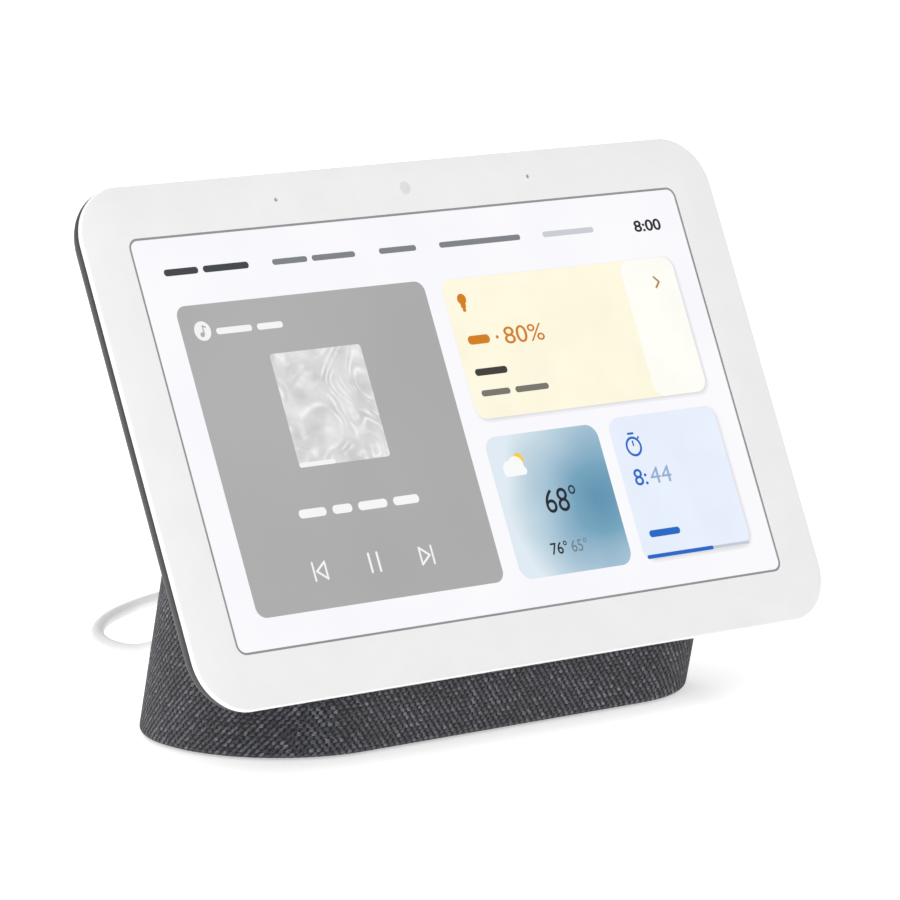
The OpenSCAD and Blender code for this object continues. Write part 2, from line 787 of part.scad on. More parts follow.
front_glass();
bezel_print();
glass_gasket();
touch_sensor();
lcd_panel();
light_guide();
backlight_tray();
display_frame();
heat_spreader();
main_board();
board_chips();
board_shield();
board_screws();
lcd_ribbon();
microphone_boards();
light_sensor();
radar_board();
antennas();
rear_cover();
cover_screws();
volume_rocker();
rocker_pin();
rocker_bracket();
volume_switch_board();
mute_slider();
mute_mark();
mute_switch();
neck_bracket();
neck_screws();
housing_screws();
speaker_housing();
fabric_sleeve();
speaker_gasket();
speaker_basket();
speaker_magnet();
speaker_yoke();
speaker_cone();
voice_coil();
dust_cap();
speaker_surround();
speaker_spider();
speaker_screws();
ballast_weight();
power_board();
dc_jack();
jack_collar();
head_harness();
speaker_wires();
base_plate();
base_screws();
rubber_foot();
dc_plug();
plug_relief();
power_cord();
cord_coil();
coil_tie();
adapter_relief();
power_adapter();
adapter_blades();
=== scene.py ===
"""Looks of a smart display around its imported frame: touch screen, rear cover, knitted base and lead.

Shapes are drawn in millimetres, in the head's own frame (x to the viewer's right, y up the glass, z out
of the glass) or in the part's frame, and are put in place in metres.
"""

import json
import math

import bmesh
import bpy
from mathutils import Matrix, Vector


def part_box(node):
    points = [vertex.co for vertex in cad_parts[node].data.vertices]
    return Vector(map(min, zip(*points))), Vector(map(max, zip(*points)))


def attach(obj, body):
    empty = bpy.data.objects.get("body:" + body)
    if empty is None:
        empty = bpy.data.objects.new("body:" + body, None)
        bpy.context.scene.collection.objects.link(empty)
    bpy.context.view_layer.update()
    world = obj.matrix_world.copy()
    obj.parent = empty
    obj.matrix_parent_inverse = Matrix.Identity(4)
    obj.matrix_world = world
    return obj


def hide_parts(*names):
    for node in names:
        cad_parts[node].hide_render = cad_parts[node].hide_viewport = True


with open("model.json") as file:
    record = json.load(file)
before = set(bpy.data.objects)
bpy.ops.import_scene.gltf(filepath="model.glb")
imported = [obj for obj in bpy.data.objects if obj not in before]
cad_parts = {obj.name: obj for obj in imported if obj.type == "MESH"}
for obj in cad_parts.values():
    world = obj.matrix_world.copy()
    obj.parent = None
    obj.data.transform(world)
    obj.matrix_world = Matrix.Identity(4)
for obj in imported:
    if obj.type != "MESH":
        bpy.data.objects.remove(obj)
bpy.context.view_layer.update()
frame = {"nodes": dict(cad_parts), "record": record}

MM = 0.001
TILT = math.radians(24)
LEAN = math.radians(13.8)

# ---- sizes, in millimetres ----

GLASS_T = 1.1
GLASS_R = 12
HEAD_T = 11
PICTURE_W = 153.6
PICTURE_H = 90
PICTURE_V = 57.1
SENSOR_X = 0.25
SENSOR_V = 108.1
SENSOR_D = 2.9
MIC_X = 35.6
MIC_HOLE_D = 0.9
WINDOW_GAP = 0.4
WINDOW_DEPTH = 0.35
FRONT_FACING = 0.96  # below this share a face of the glass counts as its rim, which gets the near-white painted highlight
RIM_DEPTH = 1.7
DISH_RUN = 24
DISH_STEPS = 22
DISH_SHARPEN = 6  # how much the shell's corner radius shrinks over the dish
SHELL_T = 1.6
SHELL_LIFT = 0.4  # keeps the shell's lower edge hidden behind the glass
ROCKER_AT = (72, 60)
ROCKER_LEN = 26
MUTE_V = 97
MUTE_LEN = 9
MUTE_TRAVEL = 3
CONTROL_W = 5.6
SLOT_GAP = 0.7
SLOT_DEPTHS = (-14, -6)

glass_low, glass_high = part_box("front_glass")
glass_y = glass_low.y / MM
glass_z = glass_low.z / MM + GLASS_T * math.sin(TILT)
glass_w = (glass_high.x - glass_low.x) / MM
glass_h = (glass_high.z / MM - glass_z) / math.cos(TILT)

PART = Matrix.Scale(MM, 4)
HEAD = (
    Matrix.Translation((0, glass_y * MM, glass_z * MM))
    @ Matrix.Rotation(math.radians(90) - TILT, 4, "X")
    @ PART
)


def add_object(name, data):
    made = bpy.data.objects.new(name, data)
    bpy.context.scene.collection.objects.link(made)
    return made


def node_box(name):
    """A CAD node's low and high corners, in millimetres."""
    return [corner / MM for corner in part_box(name)]


# ---- camera and light ----

CAMERA_AT = Vector((-0.775145, -0.925406, 0.249167))
CAMERA_AZIMUTH = math.radians(-40.297)
CAMERA_ELEVATION = math.radians(9.0205)
CAMERA_LENS = 223.85


def set_camera():
    camera = add_object("camera", bpy.data.cameras.new("camera"))
    back = Vector((
        math.sin(CAMERA_AZIMUTH) * math.cos(CAMERA_ELEVATION),
        -math.cos(CAMERA_AZIMUTH) * math.cos(CAMERA_ELEVATION),
        math.sin(CAMERA_ELEVATION),
    ))
    camera.location = CAMERA_AT
    camera.rotation_euler = (-back).to_track_quat("-Z", "Y").to_euler()
    camera.data.lens = CAMERA_LENS
    camera.data.sensor_width = 36
    camera.data.clip_start = 0.05
    camera.data.clip_end = 50
    bpy.context.scene.camera = camera


def area_light(name, place, aim, size, power):
    light = add_object(name, bpy.data.lights.new(name, "AREA"))
    light.location = place
    light.rotation_euler = (Vector(aim) - Vector(place)).to_track_quat("-Z", "Y").to_euler()
    light.data.size = size
    light.data.energy = power


def set_light():
    scene = bpy.context.scene
    scene.view_settings.view_transform = "Standard"
    scene.view_settings.look = "None"
    world = bpy.data.worlds.new("studio")
    world.use_nodes = True
    background = world.node_tree.nodes["Background"]
    background.inputs["Color"].default_value = (1, 1, 1, 1)
    background.inputs["Strength"].default_value = 0.55
    scene.world = world
    area_light("key_light", (-2.6, -1.0, 1.8), (0, 0, 0.05), 2.4, 40)
    area_light("front_light", (0.6, -1.8, 1.4), (0, 0, 0.06), 1.2, 5)
    area_light("back_light", (0.3, 1.4, 1.3), (0, 0, 0.05), 1.0, 8)


# ---- materials ----


def linear(value):
    """A 0 to 255 screen level as linear light."""
    level = value / 255
    return level / 12.92 if level <= 0.04045 else ((level + 0.055) / 1.055) ** 2.4


def shade(colour):
    """Three screen levels as a linear colour with full alpha."""
    return (*(linear(c) for c in colour), 1.0)


class Look:
    """One material's node tree, built with short calls."""

    def __init__(self, name):
        self.material = bpy.data.materials.new(name)
        self.material.use_nodes = True
        self.tree = self.material.node_tree
        self.shader = self.tree.nodes["Principled BSDF"]

    def put(self, socket, value):
        """Links another node's output to a socket, or sets its constant."""
        if isinstance(value, bpy.types.NodeSocket):
            self.tree.links.new(value, socket)
        elif value is not None:
            socket.default_value = value

    def set(self, **values):
        for name, value in values.items():
            self.put(self.shader.inputs[name.replace("_", " ")], value)

    def node(self, kind, **settings):
        made = self.tree.nodes.new("ShaderNode" + kind)
        for name, value in settings.items():
            setattr(made, name, value)
        return made

    def place(self, scale=(1, 1, 1)):
        """Where a point is, in millimetres times the scale of each axis."""
        source = self.node("TexCoord").outputs["Object"]
        mapped = self.node("Mapping")
        self.put(mapped.inputs["Vector"], source)
        mapped.inputs["Scale"].default_value = [s / MM for s in scale]
        return mapped.outputs[0]

    def noise(self, where, size, detail=2.0, distortion=0.0):
        made = self.node("TexNoise")
        self.put(made.inputs["Vector"], where)
        made.inputs["Scale"].default_value = 1 / size
        made.inputs["Detail"].default_value = detail
        made.inputs["Distortion"].default_value = distortion
        return made.outputs["Fac"]

    def math(self, operation, a, b=None, c=None):
        made = self.node("Math", operation=operation)
        for socket, value in zip(made.inputs, (a, b, c)):
            self.put(socket, value)
        return made.outputs[0]

    def remap(self, value, low, high, new_low, new_high):
        made = self.node("MapRange")
        for socket, given in zip(made.inputs, (value, low, high, new_low, new_high)):
            self.put(socket, given)
        return made.outputs[0]

    def ramp(self, value, *stops):
        """Colours at places from 0 to 1, each stop (place, colour)."""
        made = self.node("ValToRGB")
        line = made.color_ramp
        while len(line.elements) < len(stops):
            line.elements.new(0.5)
        for element, (place, colour) in zip(line.elements, stops):
            element.position = place
            element.color = colour
        self.put(made.inputs[0], value)
        return made.outputs[0]

    def mix(self, factor, a, b, blend="MIX"):
        made = self.node("Mix", data_type="RGBA", blend_type=blend)
        for socket, value in zip((made.inputs[0], made.inputs[6], made.inputs[7]), (factor, a, b)):
            self.put(socket, value)
        return made.outputs[2]

    def bump(self, height, depth):
        made = self.node("Bump")
        made.inputs["Distance"].default_value = depth * MM
        self.put(made.inputs["Height"], height)
        self.put(self.shader.inputs["Normal"], made.outputs[0])

    def glow(self, base, colour):
        """Lit surface: an emitting colour over a dark base that hardly shines."""
        self.set(
            Base_Color=base,
            Emission_Color=colour,
            Emission_Strength=1.0,
            Roughness=0.3,
            Specular_IOR_Level=0.1,
        )
        return self.material


def moulded(name, dark, light, rough=0.4, grain=0.35, depth=0.012, coat=0.0, spread=0.05):
    """Moulded or cast surface: cloudy colour, a fine grain and slightly uneven gloss."""
    look = Look(name)
    where = look.place()
    cloud = look.noise(where, 9, 3)
    fine = look.noise(where, grain, 3)
    look.set(
        Base_Color=look.ramp(cloud, (0.3, shade(dark)), (0.7, shade(light))),
        Roughness=look.remap(fine, 0.3, 0.7, rough - spread, rough + spread),
        Coat_Weight=coat,
        Coat_Roughness=0.06,
    )
    look.bump(fine, depth)
    return look.material


def brushed(name, dark, light, rough=0.32, along=(0.06, 1.0, 1.0)):
    """Rolled or turned metal, with fine lines across the axis whose scale is the smallest."""
    look = Look(name)
    lines = look.noise(look.place(scale=along), 0.35, 4)
    patches = look.noise(look.place(), 7, 2)
    look.set(
        Base_Color=look.mix(
            patches,
            look.ramp(lines, (0.25, shade(dark)), (0.75, shade(light))),
            shade(light),
        ),
        Roughness=look.remap(lines, 0.2, 0.8, rough - 0.08, rough + 0.1),
        Metallic=1.0,
    )
    look.bump(lines, 0.006)
    return look.material


def board(name):
    """Circuit board: lacquer over tracks and pads."""
    look = Look(name)
    where = look.place()
    tracks = look.node("TexVoronoi", feature="DISTANCE_TO_EDGE", distance="MANHATTAN")
    look.put(tracks.inputs["Vector"], where)
    tracks.inputs["Scale"].default_value = 0.55
    lacquer = look.ramp(look.noise(where, 4, 2), (0.3, shade((18, 74, 48))), (0.7, shade((26, 96, 62))))
    line = look.math("LESS_THAN", tracks.outputs["Distance"], 0.06)
    look.set(Base_Color=look.mix(line, lacquer, shade((62, 132, 84))), Roughness=0.3)
    look.bump(line, 0.03)
    return look.material


def woven(name, dark, light, pitch, depth=0.05):
    """Plain cloth of crossing threads, drawn from the part's own position."""
    look = Look(name)
    where = look.node("SeparateXYZ")
    look.put(where.inputs[0], look.place())
    across = look.math("ADD", where.outputs[0], where.outputs[1])
    waves = [
        look.math("SINE", look.math("MULTIPLY", side, 2 * math.pi / pitch))
        for side in (across, where.outputs[2])
    ]
    cross = look.remap(look.math("MULTIPLY", waves[0], waves[1]), -1, 1, 0, 1)
    look.set(
        Base_Color=look.ramp(cross, (0.15, shade(dark)), (0.85, shade(light))),
        Roughness=0.85,
        Sheen_Weight=0.3,
    )
    look.bump(cross, depth)
    return look.material


STITCH_W = 1.6
STITCH_H = 0.963
STITCH_LEAN = math.atan2(STITCH_W / 2, STITCH_H)
STITCH_HALF_LONG = 0.98
STITCH_HALF_WIDE = 0.52
TURN_FROM = -62.0
TURN_TO = -46.0


def knit():
    """Knitted sleeve: slanted stitches in rows that shift by half a stitch, with dark gaps between them.

    The stitches lean one way round the left end and the other way on the front.
    """
    look = Look("knit_charcoal")
    flat = look.node("UVMap", uv_map="cloth").outputs[0]
    sides = look.node("SeparateXYZ")
    look.put(sides.inputs[0], flat)
    along, up = sides.outputs[0], sides.outputs[1]
    row = look.math("DIVIDE", up, STITCH_H)
    row_id = look.math("FLOOR", row)
    shift = look.math("MULTIPLY", look.math("FLOORED_MODULO", row_id, 2.0), 0.5)
    column = look.math("ADD", look.math("DIVIDE", along, STITCH_W), shift)
    column_id = look.math("FLOOR", column)
    across = look.math("SUBTRACT", look.math("SUBTRACT", column, column_id), 0.5)
    across = look.math("MULTIPLY", across, STITCH_W)
    rise = look.math("SUBTRACT", look.math("SUBTRACT", row, row_id), 0.5)
    rise = look.math("MULTIPLY", rise, STITCH_H)
    side = look.remap(along, TURN_FROM, TURN_TO, 1.0, -1.0)
    lean = look.math("MULTIPLY", side, math.sin(STITCH_LEAN))
    run = look.math(
        "MULTIPLY_ADD", across, lean, look.math("MULTIPLY", rise, math.cos(STITCH_LEAN))
    )
    off = look.math(
        "SUBTRACT", look.math("MULTIPLY", across, math.cos(STITCH_LEAN)), look.math("MULTIPLY", rise, lean)
    )
    long = look.math("POWER", look.math("DIVIDE", run, STITCH_HALF_LONG), 2.0)
    wide = look.math("POWER", look.math("DIVIDE", off, STITCH_HALF_WIDE), 2.0)
    crown = look.math("MAXIMUM", look.math("SUBTRACT", 1.0, look.math("ADD", long, wide)), 0.0)
    stitch_id = look.node("CombineXYZ")
    look.put(stitch_id.inputs[0], column_id)
    look.put(stitch_id.inputs[1], row_id)
    own = look.node("TexWhiteNoise", noise_dimensions="2D")
    look.put(own.inputs["Vector"], stitch_id.outputs[0])
    fibre = look.noise(flat, 0.7, 3)
    patch = look.noise(flat, 11, 3)
    height = look.math("MULTIPLY_ADD", look.math("SUBTRACT", fibre, 0.5), 1.4, crown)
    yarn = look.ramp(
        own.outputs["Value"],
        (0.0, shade((54, 54, 64))),
        (0.6, shade((91, 91, 105))),
        (1.0, shade((135, 135, 150))),
    )
    toned = look.mix(look.remap(patch, 0.35, 0.65, 0.0, 0.4), yarn, shade((60, 66, 73)))
    heather = look.remap(fibre, 0.36, 0.64, 0.4, 1.5)
    gap = look.remap(height, 0.3, 0.7, 0.0, 1.0)
    look.set(
        Base_Color=look.mix(gap, shade((6, 6, 9)), look.mix(1.0, toned, heather, "MULTIPLY")),
        Roughness=0.92,
        Sheen_Weight=0.2,
        Sheen_Roughness=0.5,
    )
    look.bump(height, 0.8)
    return look.material


def lit(name, colour, other=None, drift=12.0):
    """Lit part of the picture: an emitting colour that drifts a little towards another one."""
    look = Look(name)
    other = other or tuple(c * 0.985 for c in colour)
    cloud = look.noise(look.place(), drift, 2)
    return look.glow(
        look.ramp(cloud, (0.0, shade((8, 8, 9))), (1.0, shade((11, 11, 12)))),
        look.ramp(cloud, (0.35, shade(colour)), (0.65, shade(other))),
    )


def album_art():
    """Soft light greys with fine pale curls."""
    look = Look("lit_curls")
    flat = look.node("UVMap", uv_map="flat").outputs[0]
    curl = look.noise(flat, 17, 1.0, 1.0)
    phase = look.math("FRACT", look.math("MULTIPLY", curl, 16.0))
    ridge = look.math("ABSOLUTE", look.math("SUBTRACT", phase, 0.5))
    line = look.remap(ridge, 0.0, 0.3, 0.75, 0.0)
    soft = look.ramp(look.noise(flat, 6, 3), (0.3, shade((198, 198, 198))), (0.7, shade((226, 226, 226))))
    patches = look.remap(look.noise(flat, 4, 2), 0.4, 0.62, 0.0, 1.0)
    tone = look.mix(look.math("MULTIPLY", line, patches), soft, shade((250, 250, 250)))
    return look.glow(look.mix(0.97, tone, shade((8, 8, 8))), tone)


BLUE_AT = (30.5, 33.5)
BLUE_SPREAD = (26, 27)


def weather_sky():
    """Cloudy sky: pale at the left and below, blue at the right."""
    look = Look("lit_sky")
    flat = look.node("UVMap", uv_map="flat").outputs[0]
    centre = look.node("Mapping")
    look.put(centre.inputs["Vector"], flat)
    (x, v), (wide, tall) = BLUE_AT, BLUE_SPREAD
    centre.inputs["Location"].default_value = (-x / wide, -v / tall, 0)
    centre.inputs["Scale"].default_value = (1 / wide, 1 / tall, 1)
    away = look.node("VectorMath", operation="LENGTH")
    look.put(away.inputs[0], centre.outputs[0])
    cloud = look.math("SUBTRACT", look.noise(flat, 15, 1), 0.5)
    mixed = look.math("MULTIPLY_ADD", cloud, 0.3, away.outputs["Value"])
    tone = look.ramp(
        mixed,
        (0.05, shade((97, 147, 176))),
        (0.3, shade((114, 161, 187))),
        (0.55, shade((158, 188, 207))),
        (0.8, shade((192, 212, 223))),
        (1.0, shade((220, 231, 239))),
    )
    return look.glow(look.mix(0.97, tone, shade((8, 8, 8))), tone)


def slot_looks():
    """One look for each material slot of the record."""
    return {
        "cover_glass": moulded("glass_white", (237, 237, 237), (240, 240, 240), 0.3, 0.5, 0.0003, 0.1, 0.006),
        "white_print": moulded("print_white", (238, 238, 238), (244, 244, 244), 0.5),
        "black_foam": moulded("foam_black", (24, 24, 25), (44, 44, 46), 0.95, 0.25, 0.08),
        "sensor_glass": moulded("touch_film", (130, 150, 158), (150, 170, 178), 0.1, 0.8, 0.001),
        "lcd_glass": moulded("lcd_face", (40, 48, 56), (52, 60, 70), 0.12, 0.3, 0.001, coat=0.5),
        "clear_acrylic": moulded("acrylic", (214, 226, 232), (232, 240, 244), 0.1, 0.9, 0.002),
        "pressed_steel": brushed("steel_tray", (150, 152, 156), (198, 200, 204)),
        "black_plastic": moulded("plastic_black", (25, 25, 27), (35, 35, 37), 0.45, 0.3, 0.015),
        "spreader_aluminium": brushed("aluminium_plate", (176, 178, 182), (214, 216, 220), 0.38),
        "circuit_board": board("board_green"),
        "chip_resin": moulded("chip_black", (30, 30, 31), (44, 44, 45), 0.6, 0.2, 0.01),
        "screw_steel": brushed("screw_zinc", (160, 162, 166), (208, 210, 213), 0.3, (1.0, 1.0, 0.1)),
        "flex_film": moulded("flex_amber", (150, 96, 30), (186, 126, 50), 0.3, 0.6, 0.004),
        "sensor_window": moulded("sensor_grey", (218, 218, 218), (224, 224, 224), 0.3, 0.5, 0.002),
        "antenna_copper": brushed("antenna_foil", (170, 98, 60), (214, 142, 98), 0.3),
        "grey_plastic": moulded("shell_grey", (50, 50, 53), (57, 57, 60), 0.5, 0.28, 0.014),
        "orange_mark": moulded("mark_orange", (224, 108, 22), (238, 128, 40), 0.4),
        "bracket_steel": brushed("bracket_zinc", (140, 143, 148), (188, 190, 194), 0.4),
        "housing_plastic": moulded("housing_dark", (48, 48, 50), (60, 60, 62), 0.55),
        "knit_fabric": knit(),
        "magnet_ferrite": moulded("ferrite_grey", (44, 44, 46), (64, 64, 66), 0.7, 0.5, 0.05),
        "speaker_paper": moulded("cone_paper", (30, 30, 32), (46, 45, 46), 0.85, 0.6, 0.08),
        "speaker_rubber": moulded("surround_rubber", (22, 22, 23), (32, 32, 33), 0.7, 0.4, 0.02),
        "spider_cloth": woven("spider_amber", (132, 92, 44), (186, 142, 84), 0.8),
        "wire_sheath": moulded("wire_cover", (188, 180, 160), (208, 202, 184), 0.45, 0.3, 0.006),
        "foot_rubber": moulded("foot_rubber", (34, 34, 36), (48, 48, 50), 0.85, 0.25, 0.03),
        "white_plastic": moulded("plastic_white", (222, 222, 221), (230, 230, 229), 0.35, 0.3, 0.008),
        "cord_rubber": moulded("cord_white", (235, 235, 234), (240, 240, 239), 0.42, 0.35, 0.006),
        "tie_fabric": woven("tie_black", (22, 22, 24), (58, 58, 62), 0.7, 0.08),
        "blade_brass": brushed("blade_nickel", (172, 172, 168), (218, 217, 212), 0.25, (0.1, 1.0, 1.0)),
    }


# ---- shapes ----


def rounded_rect(w, h, r, steps=8):
    """Points round a centred rectangle with round corners."""
    points = []
    for side_x, side_y, start in ((1, 1, 0), (-1, 1, 90), (-1, -1, 180), (1, -1, 270)):
        for k in range(steps + 1):
            a = math.radians(start + 90 * k / steps)
            x = side_x * (w / 2 - r) + r * math.cos(a)
            points.append((x, side_y * (h / 2 - r) + r * math.sin(a)))
    return points


def edge_profile(low, high, low_r, high_r, steps):
    """(inset, height) pairs up a wall whose lower and upper edges are round."""
    turns = [math.radians(90 * k / steps) for k in range(steps + 1)]
    return [(low_r * (1 - math.sin(a)), low + low_r * (1 - math.cos(a))) for a in turns] + [
        (high_r * (1 - math.cos(a)), high - high_r * (1 - math.sin(a))) for a in turns
    ]


def loft(mesh, rings):
    """Closed skin through rings of points that all have the same count."""
    rows = [[mesh.verts.new(p) for p in ring] for ring in rings]
    count = len(rows[0])
    for low, high in zip(rows, rows[1:]):
        for k in range(count):
            n = (k + 1) % count
            mesh.faces.new((low[k], low[n], high[n], high[k]))
    mesh.faces.new(list(reversed(rows[0])))
    mesh.faces.new(rows[-1])


def rect_loft(mesh, at, w, h, r, profile, steps):
    """Rounded rectangle carried through (inset, height) pairs."""
    loft(mesh, [
        [
            (at[0] + x, at[1] + y, z)
            for x, y in rounded_rect(w - 2 * i, h - 2 * i, max(r - i, 0.02), steps)
        ]
        for i, z in profile
    ])


def lathe(mesh, at, profile, sides=48):
    """Turned shape through (radius, distance) pairs along Y from a point (x, z)."""
    loft(mesh, [
        [
            (
                at[0] + r * math.cos(2 * math.pi * k / sides),
                y,
                at[1] + r * math.sin(2 * math.pi * k / sides),
            )
            for k in range(sides)
        ]
        for r, y in profile
    ])


def prism(mesh, outline, low, high):
    """Flat plate of one outline."""
    loft(mesh, [[(x, y, z) for x, y in outline] for z in (low, high)])


def band(mesh, outer, inner, low, high):
    """Ring-shaped prism between two outlines with the same count."""
    corners = []
    for outline in (outer, inner):
        corners.append([[mesh.verts.new((x, y, z)) for x, y in outline] for z in (low, high)])
    count = len(outer)
    for k in range(count):
        n = (k + 1) % count
        for quad in (
            (corners[0][0], corners[0][1]),
            (corners[0][1], corners[1][1]),
            (corners[1][1], corners[1][0]),
            (corners[1][0], corners[0][0]),
        ):
            mesh.faces.new((quad[0][k], quad[0][n], quad[1][n], quad[1][k]))


def finish_mesh(name, mesh, matrix, sharp=32, flat_map=False):
    """Welds a drawn mesh, puts it in place and returns its object."""
    bmesh.ops.remove_doubles(mesh, verts=mesh.verts, dist=0.0004)
    bmesh.ops.recalc_face_normals(mesh, faces=mesh.faces)
    if flat_map:
        layer = mesh.loops.layers.uv.new("flat")
        for face in mesh.faces:
            for corner in face.loops:
                corner[layer].uv = corner.vert.co.xy
    mesh.transform(matrix)
    data = bpy.data.meshes.new(name)
    mesh.to_mesh(data)
    mesh.free()
    made = add_object(name, data)
    smooth(made, sharp)
    return made


def smooth(made, sharp):
    made.data.shade_smooth()
    made.data.set_sharp_from_angle(angle=math.radians(sharp))


def piece(made, material, body, nodes=()):
    """Gives a shape its finish, its body and the CAD nodes that it stands for."""
    made.data.materials.clear()
    made.data.materials.append(material)
    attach(made, body)
    if nodes:
        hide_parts(*nodes)
    return made


def placed(name, mesh, matrix, looks, body, slot, nodes=()):
    """A drawn mesh as a finished piece in its slot's look."""
    return piece(finish_mesh(name, mesh, matrix), looks[slot], body, nodes)


def carve(made, cutters, sharp=32):
    """Cuts closed shapes out of an object and removes them."""
    for cutter in cutters:
        cut = made.modifiers.new("cut", "BOOLEAN")
        cut.operation = "DIFFERENCE"
        cut.solver = "EXACT"
        cut.object = cutter
    graph = bpy.context.evaluated_depsgraph_get()
    data = bpy.data.meshes.new_from_object(made.evaluated_get(graph))
    made.modifiers.clear()
    made.data = data
    for cutter in cutters:
        bpy.data.objects.remove(cutter)
    smooth(made, sharp)


def cutter(at, w, h, r, low, high, steps=12):
    """Closed shape with round corners, in the head's frame, for carve."""
    mesh = bmesh.new()
    rect_loft(mesh, at, w, h, r, [(0, low), (0, high)], steps)
    return finish_mesh("cutter", mesh, HEAD)


# ---- lead ----

CORD_D = 3.0
CORD_ROUTE = (
    (-30, 50, 10.5), (-30, 54, 9.8), (-29, 60, 7.9), (-27.6, 65, 6.7), (-25.6, 71, 5.6),
    (-22.9, 78.1, 4.6), (-19.5, 86.8, 3.6), (-14.9, 96.2, 2.9), (-8.1, 107, 2.3), (1.8, 118.1, 1.8),
    (11.5, 125.8, 1.6), (22.5, 131.8, 1.6), (32.9, 136.2, 1.6), (43.5, 138, 1.6), (54, 137.2, 1.6),
    (63, 132.4, 1.6), (68.6, 124.5, 1.6), (70.5, 115, 1.6),
)
TAIL_ROUTE = (
    (70.6, 103, 10.3), (71, 98.5, 9.4), (71.6, 94.5, 8.4), (72, 91, 8), (72, 85, 8), (72, 79, 8),
)
COIL_AT = (50, 108)
COIL_RADII = (20.5, 17.5, 14.5)
COIL_ROWS = (1.6, 4.6, 7.6, 10.6)
TURN_POINTS = 20
TURN_SHIFT = 0.25
JACK_AT = (-30, 10.5)
GRIP_R = 4.4
GRIP_END = 36
GRIP_GROOVES = (29, 31, 33)
BARREL_R = 1.9
PLUG_RELIEF_LEN = 14
RELIEF_TIP_R = 1.9
RELIEF_RIBS = 4


def coil_points():
    """Turns wound inwards and outwards row by row, clockwise from above."""
    turns = []
    for row, z in enumerate(COIL_ROWS):
        radii = COIL_RADII if row % 2 == 0 else COIL_RADII[::-1]
        turns += [(r, z) for r in radii]
    turns.append(turns[-1])
    points = []
    for (r, z), (next_r, next_z) in zip(turns, turns[1:]):
        for k in range(TURN_POINTS):
            part = k / TURN_POINTS
            blend = max(0.0, (part - 1 + TURN_SHIFT) / TURN_SHIFT)
            ease = blend * blend * (3 - 2 * blend)
            radius = r + (next_r - r) * ease
            angle = -2 * math.pi * part
            points.append((
                COIL_AT[0] + radius * math.cos(angle),
                COIL_AT[1] + radius * math.sin(angle),
                z + (next_z - z) * ease,
            ))
    points.append((COIL_AT[0] + turns[-1][0], COIL_AT[1], turns[-1][1]))
    return points


def tube(name, points, diameter, sides):
    """Round cord on one smooth curve."""
    data = bpy.data.curves.new(name, "CURVE")
    data.dimensions = "3D"
    data.bevel_depth = diameter / 2 * MM
    data.bevel_resolution = sides
    data.resolution_u = 5
    data.use_fill_caps = True
    line = data.splines.new("NURBS")
    line.points.add(len(points) - 1)
    for point, at in zip(line.points, points):
        point.co = (at[0] * MM, at[1] * MM, at[2] * MM, 1)
    line.order_u = 4
    line.use_endpoint_u = True
    return add_object(name, data)


def ribbed_taper(mesh, at, start, length, thick):
    """Strain relief: a tapering sleeve with grooves round it."""
    thin = RELIEF_TIP_R
    profile = [(thick - 0.4, start), (thick, start + 0.4)]
    groove = length / (RELIEF_RIBS + 1)
    for k in range(1, RELIEF_RIBS + 1):
        y = start + k * groove
        r = thick + (thin - thick) * k / (RELIEF_RIBS + 1)
        profile += [(r, y - 0.5), (r - 0.35, y - 0.3), (r - 0.35, y + 0.3), (r, y + 0.5)]
    end = start + length
    profile += [(thin, end - 0.3), (thin - 0.25, end)]
    lathe(mesh, at, profile)


def dc_plug(looks):
    """Plug with a grip of three grooves, and its barrel."""
    mesh = bmesh.new()
    profile = [(3.7, 21.8), (4.2, 21.95), (GRIP_R, 22.3)]
    for y in GRIP_GROOVES:
        profile += [(GRIP_R, y - 0.15), (4.1, y + 0.1), (4.1, y + 0.7), (GRIP_R, y + 0.95)]
    profile += [(GRIP_R, GRIP_END - 0.8), (4.2, GRIP_END - 0.2), (3.2, GRIP_END)]
    lathe(mesh, JACK_AT, profile, 64)
    body = placed("plug_body", mesh, PART, looks, "lead", "white_plastic", ["dc_plug"])
    mesh = bmesh.new()
    lathe(mesh, JACK_AT, [(1.6, 12.3), (BARREL_R, 12.6), (BARREL_R, 21.9)], 40)
    barrel = placed("plug_barrel", mesh, PART, looks, "lead", "screw_steel")
    mesh = bmesh.new()
    ribbed_taper(mesh, JACK_AT, GRIP_END, PLUG_RELIEF_LEN, 3.0)
    relief = placed("plug_sleeve", mesh, PART, looks, "lead", "white_plastic", ["plug_relief"])
    return [body, barrel, relief]


ADAPTER_LOW, ADAPTER_HIGH = node_box("power_adapter")
ADAPTER_MID = (ADAPTER_LOW + ADAPTER_HIGH) / 2
ADAPTER_R = 5.0
BLADE_W = 6.2
BLADE_T = 1.5
BLADE_IN = 1.0
BLADE_HOLE_R = 1.6
BLADE_HOLE_AT = 3.2
SIDEWAYS = PART @ Matrix(((0, 0, 1, 0), (1, 0, 0, 0), (0, 1, 0, 0), (0, 0, 0, 1)))
UPRIGHT = PART @ Matrix(((1, 0, 0, 0), (0, 0, 1, 0), (0, 1, 0, 0), (0, 0, 0, 1)))


